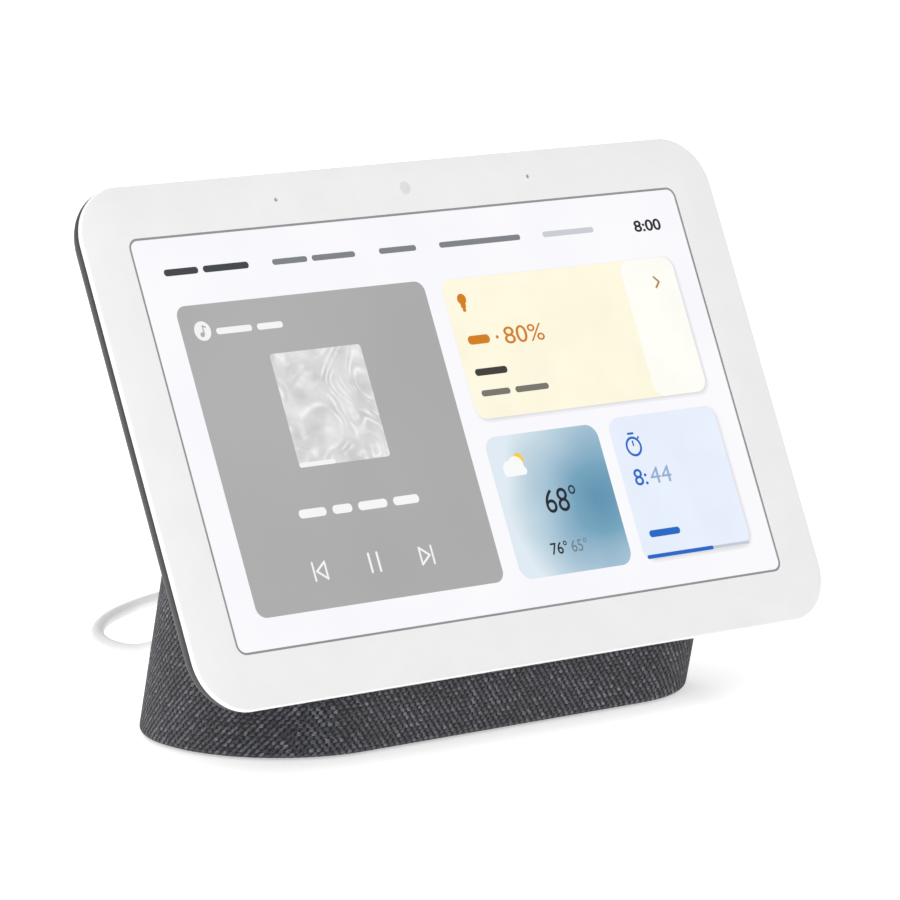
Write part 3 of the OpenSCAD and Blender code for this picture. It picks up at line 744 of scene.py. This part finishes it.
def power_adapter(looks):
    """Wall adapter with a parting line, a recessed face, two blades and a strain relief."""
    deep, wide, tall = ADAPTER_HIGH - ADAPTER_LOW
    x0, x1 = ADAPTER_LOW.x, ADAPTER_HIGH.x
    wall = edge_profile(x0, x1, 2.2, 3.2, 6)
    seam = x0 + deep * 0.36
    groove = [(0, seam - 0.2), (0.35, seam - 0.05), (0.35, seam + 0.05), (0, seam + 0.2)]
    face = [(5.6, x0 + 0.5), (5.2, x0 + 0.1), (ADAPTER_R, x0)]
    mesh = bmesh.new()
    profile = face + wall[:7] + groove + wall[7:]
    rect_loft(mesh, (ADAPTER_MID.y, ADAPTER_MID.z), wide, tall, ADAPTER_R, profile, 10)
    body = placed("adapter_body", mesh, SIDEWAYS, looks, "lead", "white_plastic", ["power_adapter"])
    blade_low, blade_high = node_box("adapter_blades")
    blades = []
    half = BLADE_T / 2
    middle = ((blade_low.x + x0 + BLADE_IN) / 2, ADAPTER_MID.z)
    for side, y in (("a", blade_low.y + half), ("b", blade_high.y - half)):
        mesh = bmesh.new()
        long = x0 + BLADE_IN - blade_low.x
        rect_loft(mesh, middle, long, BLADE_W, 1.1, edge_profile(y - half, y + half, 0.3, 0.3, 3), 5)
        blade = finish_mesh("adapter_blade_" + side, mesh, UPRIGHT)
        hole = bmesh.new()
        through = [(BLADE_HOLE_R, y - 2), (BLADE_HOLE_R, y + 2)]
        lathe(hole, (blade_low.x + BLADE_HOLE_AT, ADAPTER_MID.z), through, 32)
        carve(blade, [finish_mesh("cutter", hole, PART)])
        blades.append(piece(blade, looks["blade_brass"], "lead"))
    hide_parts("adapter_blades")
    relief_low, relief_high = node_box("adapter_relief")
    at = ((relief_low.x + relief_high.x) / 2, (relief_low.z + relief_high.z) / 2)
    mesh = bmesh.new()
    ribbed_taper(mesh, at, relief_low.y, relief_high.y - relief_low.y, 3.2)
    relief = placed("adapter_sleeve", mesh, PART, looks, "lead", "white_plastic", ["adapter_relief"])
    return [body, *blades, relief]


STRAP_T = 0.7


def coil_strap(looks):
    """Hook-and-loop strap round the turns."""
    low, high = node_box("coil_tie")
    mid, size = (low + high) / 2, high - low
    mesh = bmesh.new()
    outer = [(mid.x + x, mid.z + z) for x, z in rounded_rect(size.x, size.z, 2.4)]
    bore = rounded_rect(size.x - 2 * STRAP_T, size.z - 2 * STRAP_T, 1.8)
    inner = [(mid.x + x, mid.z + z) for x, z in bore]
    band(mesh, outer, inner, low.y, high.y)
    return placed("coil_strap", mesh, UPRIGHT, looks, "lead", "tie_fabric", ["coil_tie"])


def lead(looks):
    points = [*CORD_ROUTE, *coil_points(), *TAIL_ROUTE]
    cord = tube("lead_cord", points, CORD_D, 6)
    piece(cord, looks["cord_rubber"], "lead", ["power_cord", "cord_coil"])
    with_pieces = [*dc_plug(looks), *power_adapter(looks), coil_strap(looks)]


# ---- head ----


def front_glass(looks):
    """Cover glass with a round front edge, a window for the picture, microphone holes and a sensor spot."""
    mesh = bmesh.new()
    wall = edge_profile(-GLASS_T, 0, 0.15, 0.38, 6)
    rings = [
        [(x, glass_h / 2 + y, z) for x, y in rounded_rect(glass_w - 2 * i, glass_h - 2 * i, GLASS_R - i, 16)]
        for i, z in wall
    ]
    window = rounded_rect(PICTURE_W + 2 * WINDOW_GAP, PICTURE_H + 2 * WINDOW_GAP, 2.4, 16)
    rings += [[(x, PICTURE_V + y, z) for x, y in window] for z in (0, -WINDOW_DEPTH)]
    loft(mesh, rings)
    glass = finish_mesh("screen_glass", mesh, HEAD)
    holes = [
        cutter((x, SENSOR_V), MIC_HOLE_D, MIC_HOLE_D, MIC_HOLE_D / 2, -2, 1, 6) for x in (-MIC_X, MIC_X)
    ]
    holes.append(cutter((SENSOR_X, SENSOR_V), SENSOR_D, SENSOR_D, SENSOR_D / 2, -0.3, 1))
    carve(glass, holes)
    piece(glass, looks["cover_glass"], "root", ["front_glass", "bezel_print"])
    # rim faces, window and hole walls included, get near-white paint with a full coat: a painted highlight
    # along the glass's edges
    glass.data.materials.append(
        moulded("glass_rim_painted_highlight", (254, 254, 254), (255, 255, 255), 0.12, 0.5, 0.0008, coat=1.0)
    )
    out = HEAD.to_3x3().col[2].normalized()
    for face in glass.data.polygons:
        face.material_index = int(abs(face.normal.dot(out)) < FRONT_FACING)
    mesh = bmesh.new()
    wide = SENSOR_D + 0.06
    rect_loft(mesh, (SENSOR_X, SENSOR_V), wide, wide, wide / 2, [(0, -0.3), (0, -0.006)], 12)
    placed("sensor_spot", mesh, HEAD, looks, "root", "sensor_window")


def dish_corner(inset):
    """Corner radius of the shell's outline, which gets smaller towards the back."""
    return GLASS_R - DISH_SHARPEN * inset / DISH_RUN


def dish_ring(inset, depth):
    """One outline of the shell, whose lower edge sits a little above the glass's."""
    high = glass_h - 2 * inset - SHELL_LIFT
    outline = rounded_rect(glass_w - 2 * inset, high, dish_corner(inset), 16)
    return [(x, (glass_h + SHELL_LIFT) / 2 + y, -depth) for x, y in outline]


def rear_cover(looks):
    """Dished shell with a thin shadow groove behind the glass, and slots for rocker and slider."""
    turns = [math.radians(90 * k / DISH_STEPS) for k in range(DISH_STEPS + 1)]
    deep = HEAD_T - RIM_DEPTH
    outer = [(DISH_RUN * (1 - math.cos(s)), RIM_DEPTH + deep * math.sin(s)) for s in turns]
    lip = [(0, 1.45), (0.12, 1.3), (0.3, 1.2), (0.35, GLASS_T), (1.0, GLASS_T)]
    inside = [
        (SHELL_T + (DISH_RUN - SHELL_T) * (1 - math.cos(s)), RIM_DEPTH + (deep - SHELL_T) * math.sin(s))
        for s in turns
    ]
    mesh = bmesh.new()
    loft(mesh, [dish_ring(i, d) for i, d in outer[::-1] + lip + inside])
    cover = finish_mesh("rear_shell", mesh, HEAD, 40)
    slot_w = CONTROL_W + SLOT_GAP
    mute_slot = MUTE_LEN + MUTE_TRAVEL + SLOT_GAP
    carve(cover, [
        cutter(ROCKER_AT, slot_w, ROCKER_LEN + 0.9, slot_w / 2, *SLOT_DEPTHS),
        cutter((MUTE_TRAVEL / 2, MUTE_V), mute_slot, slot_w, slot_w / 2, *SLOT_DEPTHS),
    ], 40)
    piece(cover, looks["grey_plastic"], "root", ["rear_cover"])


def controls(looks):
    """Volume rocker with a stem, and the microphone slider with grip ridges."""
    mesh = bmesh.new()
    cap = [(1.6, -11.2), *edge_profile(-11.3, -9, 0.9, 0.2, 6)[1:]]
    rect_loft(mesh, ROCKER_AT, CONTROL_W, ROCKER_LEN, CONTROL_W / 2, cap, 12)
    rect_loft(mesh, ROCKER_AT, 2.6, 2.4, 0.3, [(0, -9.1), (0, -7.2)], 3)
    placed("rocker_cap", mesh, HEAD, looks, "volume_rocker", "grey_plastic", ["volume_rocker"])
    mesh = bmesh.new()
    cap = edge_profile(-10.6, -7.9, 0.5, 0.1, 5)
    rect_loft(mesh, (0, MUTE_V), MUTE_LEN, CONTROL_W, CONTROL_W / 2, cap, 12)
    rect_loft(mesh, (0, MUTE_V), 16, 7.4, 0.6, [(0, -7.9), (0, -7.3)], 4)
    for x in (-1.6, 0, 1.6):
        rect_loft(mesh, (x, MUTE_V), 0.7, 3.6, 0.34, edge_profile(-10.85, -10.4, 0.25, 0.02, 4), 6)
    placed("mute_cap", mesh, HEAD, looks, "mute_slider", "grey_plastic", ["mute_slider"])


# ---- picture ----

SCREEN_Z = -0.2
LAYER = 0.03
PLATE_T = 0.02
FIGURE_T = 0.01
CIRCLE_SIDES = 40
MENU_V = 94.5
BORDER_W = 0.5
CARD_R = 3.0
MUSIC_CARD = (-69.6, -2.0, 18.8, 87.0)
ALBUM_ART = (-48.4, -23.7, 49.4, 74.6)
LAMP_CARD = (2.7, 70.5, 54.75, 86.55)
LAMP_SIDE_X = 54.8
WEATHER_CARD = (2.6, 35.0, 18.4, 50.6)
TIMER_CARD = (38.6, 70.5, 18.8, 51.2)
WATCH_AT = (44.3, 44.3)
TIMER_BAR_V = 19.25


def circle(x, v, r):
    turns = [2 * math.pi * k / CIRCLE_SIDES for k in range(CIRCLE_SIDES)]
    return [(x + r * math.cos(a), v + r * math.sin(a)) for a in turns]


def card(x0, x1, v0, v1, r):
    mid = ((x0 + x1) / 2, (v0 + v1) / 2)
    return [(mid[0] + x, mid[1] + y) for x, y in rounded_rect(x1 - x0, v1 - v0, r)]


def bar(x0, x1, v, high):
    return card(x0, x1, v - high / 2, v + high / 2, high * 0.48)


def stroke(a, b, width):
    """Straight line with round ends."""
    run, rise = b[0] - a[0], b[1] - a[1]
    length, turn = math.hypot(run, rise), math.atan2(rise, run)
    cos, sin = math.cos(turn), math.sin(turn)
    mid = ((a[0] + b[0]) / 2, (a[1] + b[1]) / 2)
    return [
        (mid[0] + x * cos - y * sin, mid[1] + x * sin + y * cos)
        for x, y in rounded_rect(length + width, width, width * 0.48, 4)
    ]


def strokes(points, width, closed=False):
    ends = points[1:] + (points[:1] if closed else [])
    return [stroke(a, b, width) for a, b in zip(points, ends)]


def numerals(mesh, text, x0, x1, v, high, level, weight=0.0):
    """Figures that span x0 to x1, centred on height v."""
    data = bpy.data.curves.new("figures", "FONT")
    data.body = text
    data.offset = weight
    data.extrude = FIGURE_T
    made = add_object("figures", data)
    graph = bpy.context.evaluated_depsgraph_get()
    drawn = made.evaluated_get(graph).to_mesh()
    points = [p.co.copy() for p in drawn.vertices]
    left, right = min(p.x for p in points), max(p.x for p in points)
    low, top = min(p.y for p in points), max(p.y for p in points)
    wide, tall = (x1 - x0) / (right - left), high / (top - low)
    z = SCREEN_Z + level * LAYER
    made_points = [
        mesh.verts.new((x0 + (p.x - left) * wide, v + (p.y - (low + top) / 2) * tall, z + p.z))
        for p in points
    ]
    for face in drawn.polygons:
        mesh.faces.new([made_points[k] for k in face.vertices])
    bpy.data.objects.remove(made)


def shown(name, material, outlines, level, figures=(), rings=()):
    """One lit layer of the picture: thin plates, figures and rings at one level."""
    mesh = bmesh.new()
    z = SCREEN_Z + level * LAYER
    for outline in outlines:
        prism(mesh, outline, z - PLATE_T, z)
    for outer, inner in rings:
        band(mesh, outer, inner, z - PLATE_T, z)
    for figure in figures:
        numerals(mesh, *figure[:5], level, *figure[5:])
    made = finish_mesh(name, mesh, HEAD, flat_map=True)
    return piece(made, material, "root")


def menu():
    dark = lit("lit_ink", (66, 69, 73))
    bold = lit("lit_ink_bold", (40, 43, 46))
    grey = lit("lit_ink_grey", (128, 131, 136))
    pale = lit("lit_ink_pale", (204, 206, 213))
    shown("menu_first", dark, [bar(-69.9, -60.9, MENU_V, 1.5), bar(-59.6, -47.4, MENU_V, 1.5)], 1)
    shown("menu_words", grey, [
        bar(x0, x1, MENU_V, 1.3) for x0, x1 in ((-41.0, -31.5), (-30.2, -18.3), (-11.6, -1.2), (5.4, 28.7))
    ], 1)
    shown("menu_last", pale, [bar(35.3, 50.3, MENU_V, 1.3)], 1)
    shown("menu_clock", bold, [], 1, [("8:00", 62.4, 70.4, 94.2, 2.7, 0.022)])


def music_card():
    white = lit("lit_white", (246, 246, 246))
    grey = lit("lit_card_grey", (170, 170, 170), (176, 176, 176), 60)
    shown("music_card", grey, [card(*MUSIC_CARD, 2.5)], 1)
    shown("music_badge", white, [circle(-64.0, 81.2, 2.15)], 2)
    shown("music_note", grey, [
        circle(-64.3, 80.4, 0.55), stroke((-63.8, 80.4), (-63.8, 82.3), 0.3),
        stroke((-63.8, 82.3), (-63.1, 82.0), 0.35),
    ], 3)
    shown("music_label", white, [
        bar(-60.5, -51.0, 80.8, 1.4), bar(-49.6, -42.7, 80.8, 1.4),
    ], 2)
    shown("album_art", album_art(), [card(*ALBUM_ART, 0.8)], 2)
    shown("album_progress", white, [bar(-48.4, -38.6, 49.9, 1.0)], 3)
    shown("music_title", white, [
        bar(x0, x1, 39.5, 1.9)
        for x0, x1 in ((-52.0, -44.6), (-42.9, -37.6), (-35.9, -28.0), (-26.3, -19.2))
    ], 2)
    signs = [stroke((x, 25.1), (x, 29.1), 0.55) for x in (-36.8, -34.5)]
    for side, x in ((1, -50.4), (-1, -21.4)):
        signs.append(stroke((x - side * 1.7, 25.0), (x - side * 1.7, 28.9), 0.47))
        points = [(x + side * 1.6, 28.8), (x + side * 1.6, 25.1), (x - side * 0.9, 26.95)]
        signs += strokes(points, 0.47, True)
    shown("music_controls", white, signs, 2)


def soft_edge(name, x0, x1, v0, v1, r):
    """Two paler rims below a card, offset to the right and down."""
    outer = lit("lit_shadow_outer", (240, 240, 244))
    inner = lit("lit_shadow_inner", (226, 226, 230))
    shown(name + "_rim_outer", outer, [card(x0 - 0.1, x1 + 0.9, v0 - 0.9, v1 + 0.1, r + 0.4)], 0.4)
    shown(name + "_rim_inner", inner, [card(x0 + 0.2, x1 + 0.4, v0 - 0.4, v1 - 0.2, r + 0.2)], 0.7)


def lamp_card():
    soft_edge("lamp_card", *LAMP_CARD, CARD_R)
    orange = lit("lit_orange", (212, 126, 26))
    shown("lamp_card", lit("lit_cream", (254, 249, 224)), [card(*LAMP_CARD, CARD_R)], 1)
    side = card(LAMP_SIDE_X, *LAMP_CARD[1:], CARD_R)
    shown("lamp_card_side", lit("lit_ivory", (255, 254, 247)), [side], 1.5)
    shown("lamp_bulb", orange, [
        circle(7.4, 81.9, 1.25), card(6.7, 8.1, 79.9, 81.3, 0.3), card(6.95, 7.85, 79.0, 80.3, 0.3),
    ], 2)
    chevron = strokes([(63.9, 82.1), (65.1, 80.9), (63.9, 79.7)], 0.5)
    shown("lamp_chevron", lit("lit_ochre", (184, 138, 66)), chevron, 2.5)
    shown("lamp_level", orange, [bar(6.0, 12.2, 72.5, 2.0), circle(14.4, 72.6, 0.4)], 2,
          [("80%", 16.4, 27.8, 72.7, 3.9)])
    shown("lamp_name", lit("lit_ink_name", (64, 62, 58)), [bar(5.5, 14.7, 65.2, 1.6)], 2)
    shown("lamp_room", lit("lit_ink_room", (122, 118, 108)), [
        bar(5.7, 13.9, 60.4, 1.4), bar(15.4, 25.0, 60.4, 1.4),
    ], 2)


def weather_card():
    shown("weather_card", weather_sky(), [card(*WEATHER_CARD, 3.2)], 1)
    shown("weather_sun", lit("lit_sun", (251, 206, 66)), [circle(10.7, 44.9, 1.5)], 2)
    shown("weather_cloud", lit("lit_cloud", (250, 251, 252)), [
        circle(7.6, 43.1, 1.75), circle(9.6, 43.6, 2.15), bar(5.9, 12.3, 42.3, 1.9),
    ], 3)
    ink = lit("lit_ink_blue", (28, 38, 46))
    shown("weather_now", ink, [], 2, [("68°", 15.0, 24.2, 34.9, 5.6)])
    shown("weather_high", ink, [], 2, [("76°", 12.9, 17.7, 24.3, 2.8, 0.008)])
    shown("weather_low", lit("lit_ink_low", (112, 130, 142)), [], 2, [("65°", 18.8, 23.4, 24.3, 2.8)])


def timer_card():
    soft_edge("timer_card", *TIMER_CARD, CARD_R)
    blue = lit("lit_blue", (34, 104, 200))
    pale = lit("lit_blue_pale", (150, 176, 208))
    shown("timer_card", lit("lit_ice", (233, 240, 254)), [card(*TIMER_CARD, CARD_R)], 1)
    shown("timer_watch", blue, [
        stroke((43.6, 47.3), (45.0, 47.3), 0.5), stroke((44.3, 44.6), (44.3, 45.5), 0.42),
        stroke((46.1, 46.1), (46.3, 46.3), 0.45),
    ], 2, rings=[(circle(*WATCH_AT, 2.3), circle(*WATCH_AT, 1.75))])
    shown("timer_minutes", blue, [], 2, [("8:", 41.9, 45.6, 37.3, 3.8, 0.006)])
    shown("timer_seconds", pale, [], 2, [("44", 46.6, 52.8, 37.3, 3.8)])
    shown("timer_label", blue, [bar(41.7, 50.8, 24.3, 1.6)], 2)
    shown("timer_bar_rest", lit("lit_bar_grey", (198, 203, 212)), [bar(56.0, 70.0, TIMER_BAR_V, 0.7)], 2)
    shown("timer_bar", blue, [bar(39.3, 59.0, TIMER_BAR_V, 0.9)], 3)


def page(grow, r):
    """The picture's own outline, made larger or smaller all round."""
    half_w, half_h = PICTURE_W / 2 + grow, PICTURE_H / 2 + grow
    return card(-half_w, half_w, PICTURE_V - half_h, PICTURE_V + half_h, r)


def picture():
    """Grey border line and the lit page with its cards."""
    edge = moulded("picture_border", (138, 138, 140), (146, 146, 148), 0.5)
    border = (page(WINDOW_GAP, 2.4), page(WINDOW_GAP - BORDER_W, 1.9))
    shown("picture_edge", edge, [], 5, rings=[border])
    white = lit("lit_page", (250, 249, 252), (247, 246, 251), 30)
    shown("picture_page", white, [page(0, 2.0)], 0)
    menu()
    music_card()
    lamp_card()
    weather_card()
    timer_card()


# ---- base ----

COLUMN_W = 136.8
COLUMN_D = 59
COLUMN_R = 28.6
COLUMN_TOP = 89
HEM_R = 1.4
HEM_TUCK = 4
CROWN_R = 2.5
SLEEVE_FOOT = 0.5
ARC_STEPS = 6
WALL_STEPS = 84
TOP_STEP = 1.2
SLEEVE_STEP = 0.95
SLEEVE_GAP = 0.3
POCKET_R = 6.9
POCKET_EDGE = 1.2


def sleeve_path():
    """(inset, height, length so far) along a line from under the base, up the wall and over the top."""
    tuck = [(HEM_TUCK, SLEEVE_FOOT), (2.6, SLEEVE_FOOT)]
    arcs = edge_profile(SLEEVE_FOOT, COLUMN_TOP, HEM_R, CROWN_R, ARC_STEPS)
    hem, crown = arcs[:ARC_STEPS + 1], arcs[ARC_STEPS + 1:]
    low, high = hem[-1][1], crown[0][1]
    wall = [(0, low + (high - low) * k / WALL_STEPS) for k in range(1, WALL_STEPS)]
    top = [(CROWN_R + TOP_STEP * k, COLUMN_TOP) for k in range(1, 8)]
    line = tuck + hem + wall + crown + top
    path, length = [], 0.0
    for k, (inset, z) in enumerate(line):
        if k:
            length += math.hypot(inset - line[k - 1][0], (z - line[k - 1][1]) / math.cos(LEAN))
        path.append((inset, z, length))
    return path


def column_outline(spacing):
    """(x, y, normal x, normal y, length from the front's middle) round the column, square to its lean."""
    flat_x, flat_y, r = COLUMN_W / 2 - COLUMN_R, COLUMN_D / 2 - COLUMN_R, COLUMN_R
    turn = r * math.pi / 2
    sides = (
        ((0, 1), (-1, 0), (0, COLUMN_D / 2), flat_x),
        (None, (-flat_x, flat_y), 90, turn),
        ((-1, 0), (0, -1), (-COLUMN_W / 2, flat_y), 2 * flat_y),
        (None, (-flat_x, -flat_y), 180, turn),
        ((0, -1), (1, 0), (-flat_x, -COLUMN_D / 2), 2 * flat_x),
        (None, (flat_x, -flat_y), 270, turn),
        ((1, 0), (0, 1), (COLUMN_W / 2, -flat_y), 2 * flat_y),
        (None, (flat_x, flat_y), 0, turn),
        ((0, 1), (-1, 0), (flat_x, COLUMN_D / 2), flat_x),
    )
    start = -sum(side[3] for side in sides) / 2
    points = []
    for normal, first, second, length in sides:
        count = max(1, round(length / spacing))
        for k in range(count):
            go = length * k / count
            if normal:
                at = (second[0] + first[0] * go, second[1] + first[1] * go)
                points.append((*at, *normal, start + go))
            else:
                a = math.radians(second + 90 * k / count)
                n = (math.cos(a), math.sin(a))
                points.append((first[0] + r * n[0], first[1] + r * n[1], *n, start + go))
        start += length
    points.append((*points[0][:4], start))
    return points


def on_column(point, inset, z):
    """A point of the leaning wall at a height, in the part's frame."""
    x, y = point[0] - inset * point[2], point[1] - inset * point[3]
    return Vector((x, y / math.cos(LEAN) - z * math.tan(LEAN), z))


def head_surface_gap(place):
    """How far a point lies behind the head's back, in millimetres, below 0 inside it."""
    local = HEAD.inverted() @ (place * MM)
    x, y = abs(local.x), abs(local.y - glass_h / 2)

    def outside(inset):
        r = dish_corner(inset)
        dx, dy = x - (glass_w / 2 - inset - r), y - (glass_h / 2 - inset - r)
        return math.hypot(max(dx, 0), max(dy, 0)) + min(max(dx, dy), 0) - r

    if outside(0) > 0:
        return 1.0 if -local.z > 0 else -1.0
    if outside(DISH_RUN) <= 0:
        back = HEAD_T
    else:
        near, far = 0.0, DISH_RUN
        for _ in range(24):
            mid = (near + far) / 2
            near, far = (mid, far) if outside(mid) < 0 else (near, mid)
        back = RIM_DEPTH + (HEAD_T - RIM_DEPTH) * math.sin(math.acos(max(-1.0, 1 - near / DISH_RUN)))
    return -local.z - back - SLEEVE_GAP


def sleeve_column(point, path):
    """(place, length) pairs up the wall at one point of the outline, ending where the head begins."""
    column = []
    for k, (inset, z, length) in enumerate(path):
        place = on_column(point, inset, z)
        if k and head_surface_gap(place) < 0:
            low, high = path[k - 1], path[k]
            for _ in range(20):
                mid = tuple((a + b) / 2 for a, b in zip(low, high))
                inside = head_surface_gap(on_column(point, mid[0], mid[1])) < 0
                low, high = (low, mid) if inside else (mid, high)
            if low[2] - column[-1][1] < 0.15:
                column.pop()
            column.append((on_column(point, low[0], low[1]), low[2]))
            break
        column.append((place, length))
    return column


def pocket_distance(co):
    return math.hypot(co.x - JACK_AT[0], co.z - JACK_AT[1])


def open_pocket(mesh):
    """Cuts the plug's hole out of the sleeve and draws its edge to a circle."""
    inside = [
        face for face in mesh.faces
        if all(v.co.y > 0 and pocket_distance(v.co) < POCKET_R for v in face.verts)
    ]
    bmesh.ops.delete(mesh, geom=inside, context="FACES")
    for vertex in mesh.verts:
        away = pocket_distance(vertex.co)
        if vertex.co.y > 0 and vertex.is_boundary and away < POCKET_R + POCKET_EDGE:
            scale = POCKET_R / max(away, 0.1)
            vertex.co.x = JACK_AT[0] + (vertex.co.x - JACK_AT[0]) * scale
            vertex.co.z = JACK_AT[1] + (vertex.co.z - JACK_AT[1]) * scale


def fabric_sleeve(looks):
    """Knitted sleeve: tucked under the base, up the leaning wall, and cut where it meets the head."""
    path = sleeve_path()
    mesh = bmesh.new()
    layer = mesh.loops.layers.uv.new("cloth")
    columns = [
        [(mesh.verts.new(place), point[4], length) for place, length in sleeve_column(point, path)]
        for point in column_outline(SLEEVE_STEP)
    ]

    def add(*corners):
        face = mesh.faces.new([c[0] for c in corners])
        for corner, given in zip(face.loops, corners):
            corner[layer].uv = given[1:]

    for left, right in zip(columns, columns[1:]):
        shared = min(len(left), len(right)) - 1
        for k in range(shared):
            add(left[k], right[k], right[k + 1], left[k + 1])
        for k in range(shared, len(left) - 1):
            add(left[k], right[-1], left[k + 1])
        for k in range(shared, len(right) - 1):
            add(left[-1], right[k], right[k + 1])
    open_pocket(mesh)
    sleeve = finish_mesh("fabric_sleeve_knit", mesh, PART, 60)
    piece(sleeve, looks["knit_fabric"], "root", ["fabric_sleeve"])


def jack_collar(looks):
    """Ring with a round lip that lines the plug's pocket."""
    low, high = node_box("jack_collar")
    back = high.y - (high.z - low.z) / 2 * math.tan(LEAN)
    mesh = bmesh.new()
    sides = 64
    profile = [
        (5.9, low.y), (5.8, low.y + 0.3), (5.8, back - 0.7), (5.95, back - 0.25), (6.3, back),
        (6.9, back), (7.3, back - 0.25), (7.4, back - 0.8), (7.0, back - 2.0), (6.9, low.y),
    ]
    tilted = [
        [
            (
                JACK_AT[0] + r * math.cos(a),
                y - (r * math.sin(a)) * math.tan(LEAN) * (y - low.y) / (back - low.y),
                JACK_AT[1] + r * math.sin(a),
            )
            for r, y in profile
        ]
        for a in (2 * math.pi * k / sides for k in range(sides))
    ]
    rows = [[mesh.verts.new(p) for p in ring] for ring in tilted]
    count = len(profile)
    for k in range(sides):
        here, after = rows[k], rows[(k + 1) % sides]
        for j in range(count):
            n = (j + 1) % count
            mesh.faces.new((here[j], here[n], after[n], after[j]))
    placed("pocket_ring", mesh, PART, looks, "root", "black_plastic", ["jack_collar"])


def rubber_foot(looks):
    """Foot with a round lower edge and a shallow groove near its rim."""
    low, high = node_box("rubber_foot")
    mesh = bmesh.new()
    groove = [(6.0, 0.25), (5.7, 0.25), (5.4, 0.0), (3.4, 0.0), (3.1, 0.25), (2.8, 0.25), (2.5, 0.0)]
    wall = edge_profile(low.z, high.z, 0.5, 0.15, 5)
    rect_loft(mesh, (0, 0), high.x - low.x, high.y - low.y, 22, groove + wall, 16)
    placed("foot_pad", mesh, PART, looks, "root", "foot_rubber", ["rubber_foot"])


# ---- the rest of the frame ----


def carried_over(looks):
    """Every CAD node takes the look of its own material slot."""
    for part in frame["record"]["subparts"]:
        node = frame["nodes"][part["node"]]
        node.data.materials.clear()
        node.data.materials.append(looks[part["material_slot"]])


def stage():
    """Pale floor that runs well past the view."""
    look = Look("floor_white")
    cloud = look.noise(look.place(), 400, 2)
    look.set(
        Base_Color=look.ramp(cloud, (0.3, shade((248, 248, 248))), (0.7, shade((250, 250, 250)))),
        Roughness=0.8,
        Emission_Color=look.ramp(cloud, (0.3, shade((254, 254, 254))), (0.7, shade((255, 255, 255)))),
        Emission_Strength=0.5,
        Specular_IOR_Level=0.0,
    )
    mesh = bmesh.new()
    prism(mesh, rounded_rect(9000, 9000, 400, 6), -20, 0)
    floor = finish_mesh("floor", mesh, PART)
    floor.data.materials.append(look.material)


def main():
    set_camera()
    set_light()
    looks = slot_looks()
    carried_over(looks)
    lead(looks)
    front_glass(looks)
    rear_cover(looks)
    controls(looks)
    picture()
    fabric_sleeve(looks)
    jack_collar(looks)
    rubber_foot(looks)
    stage()


main()
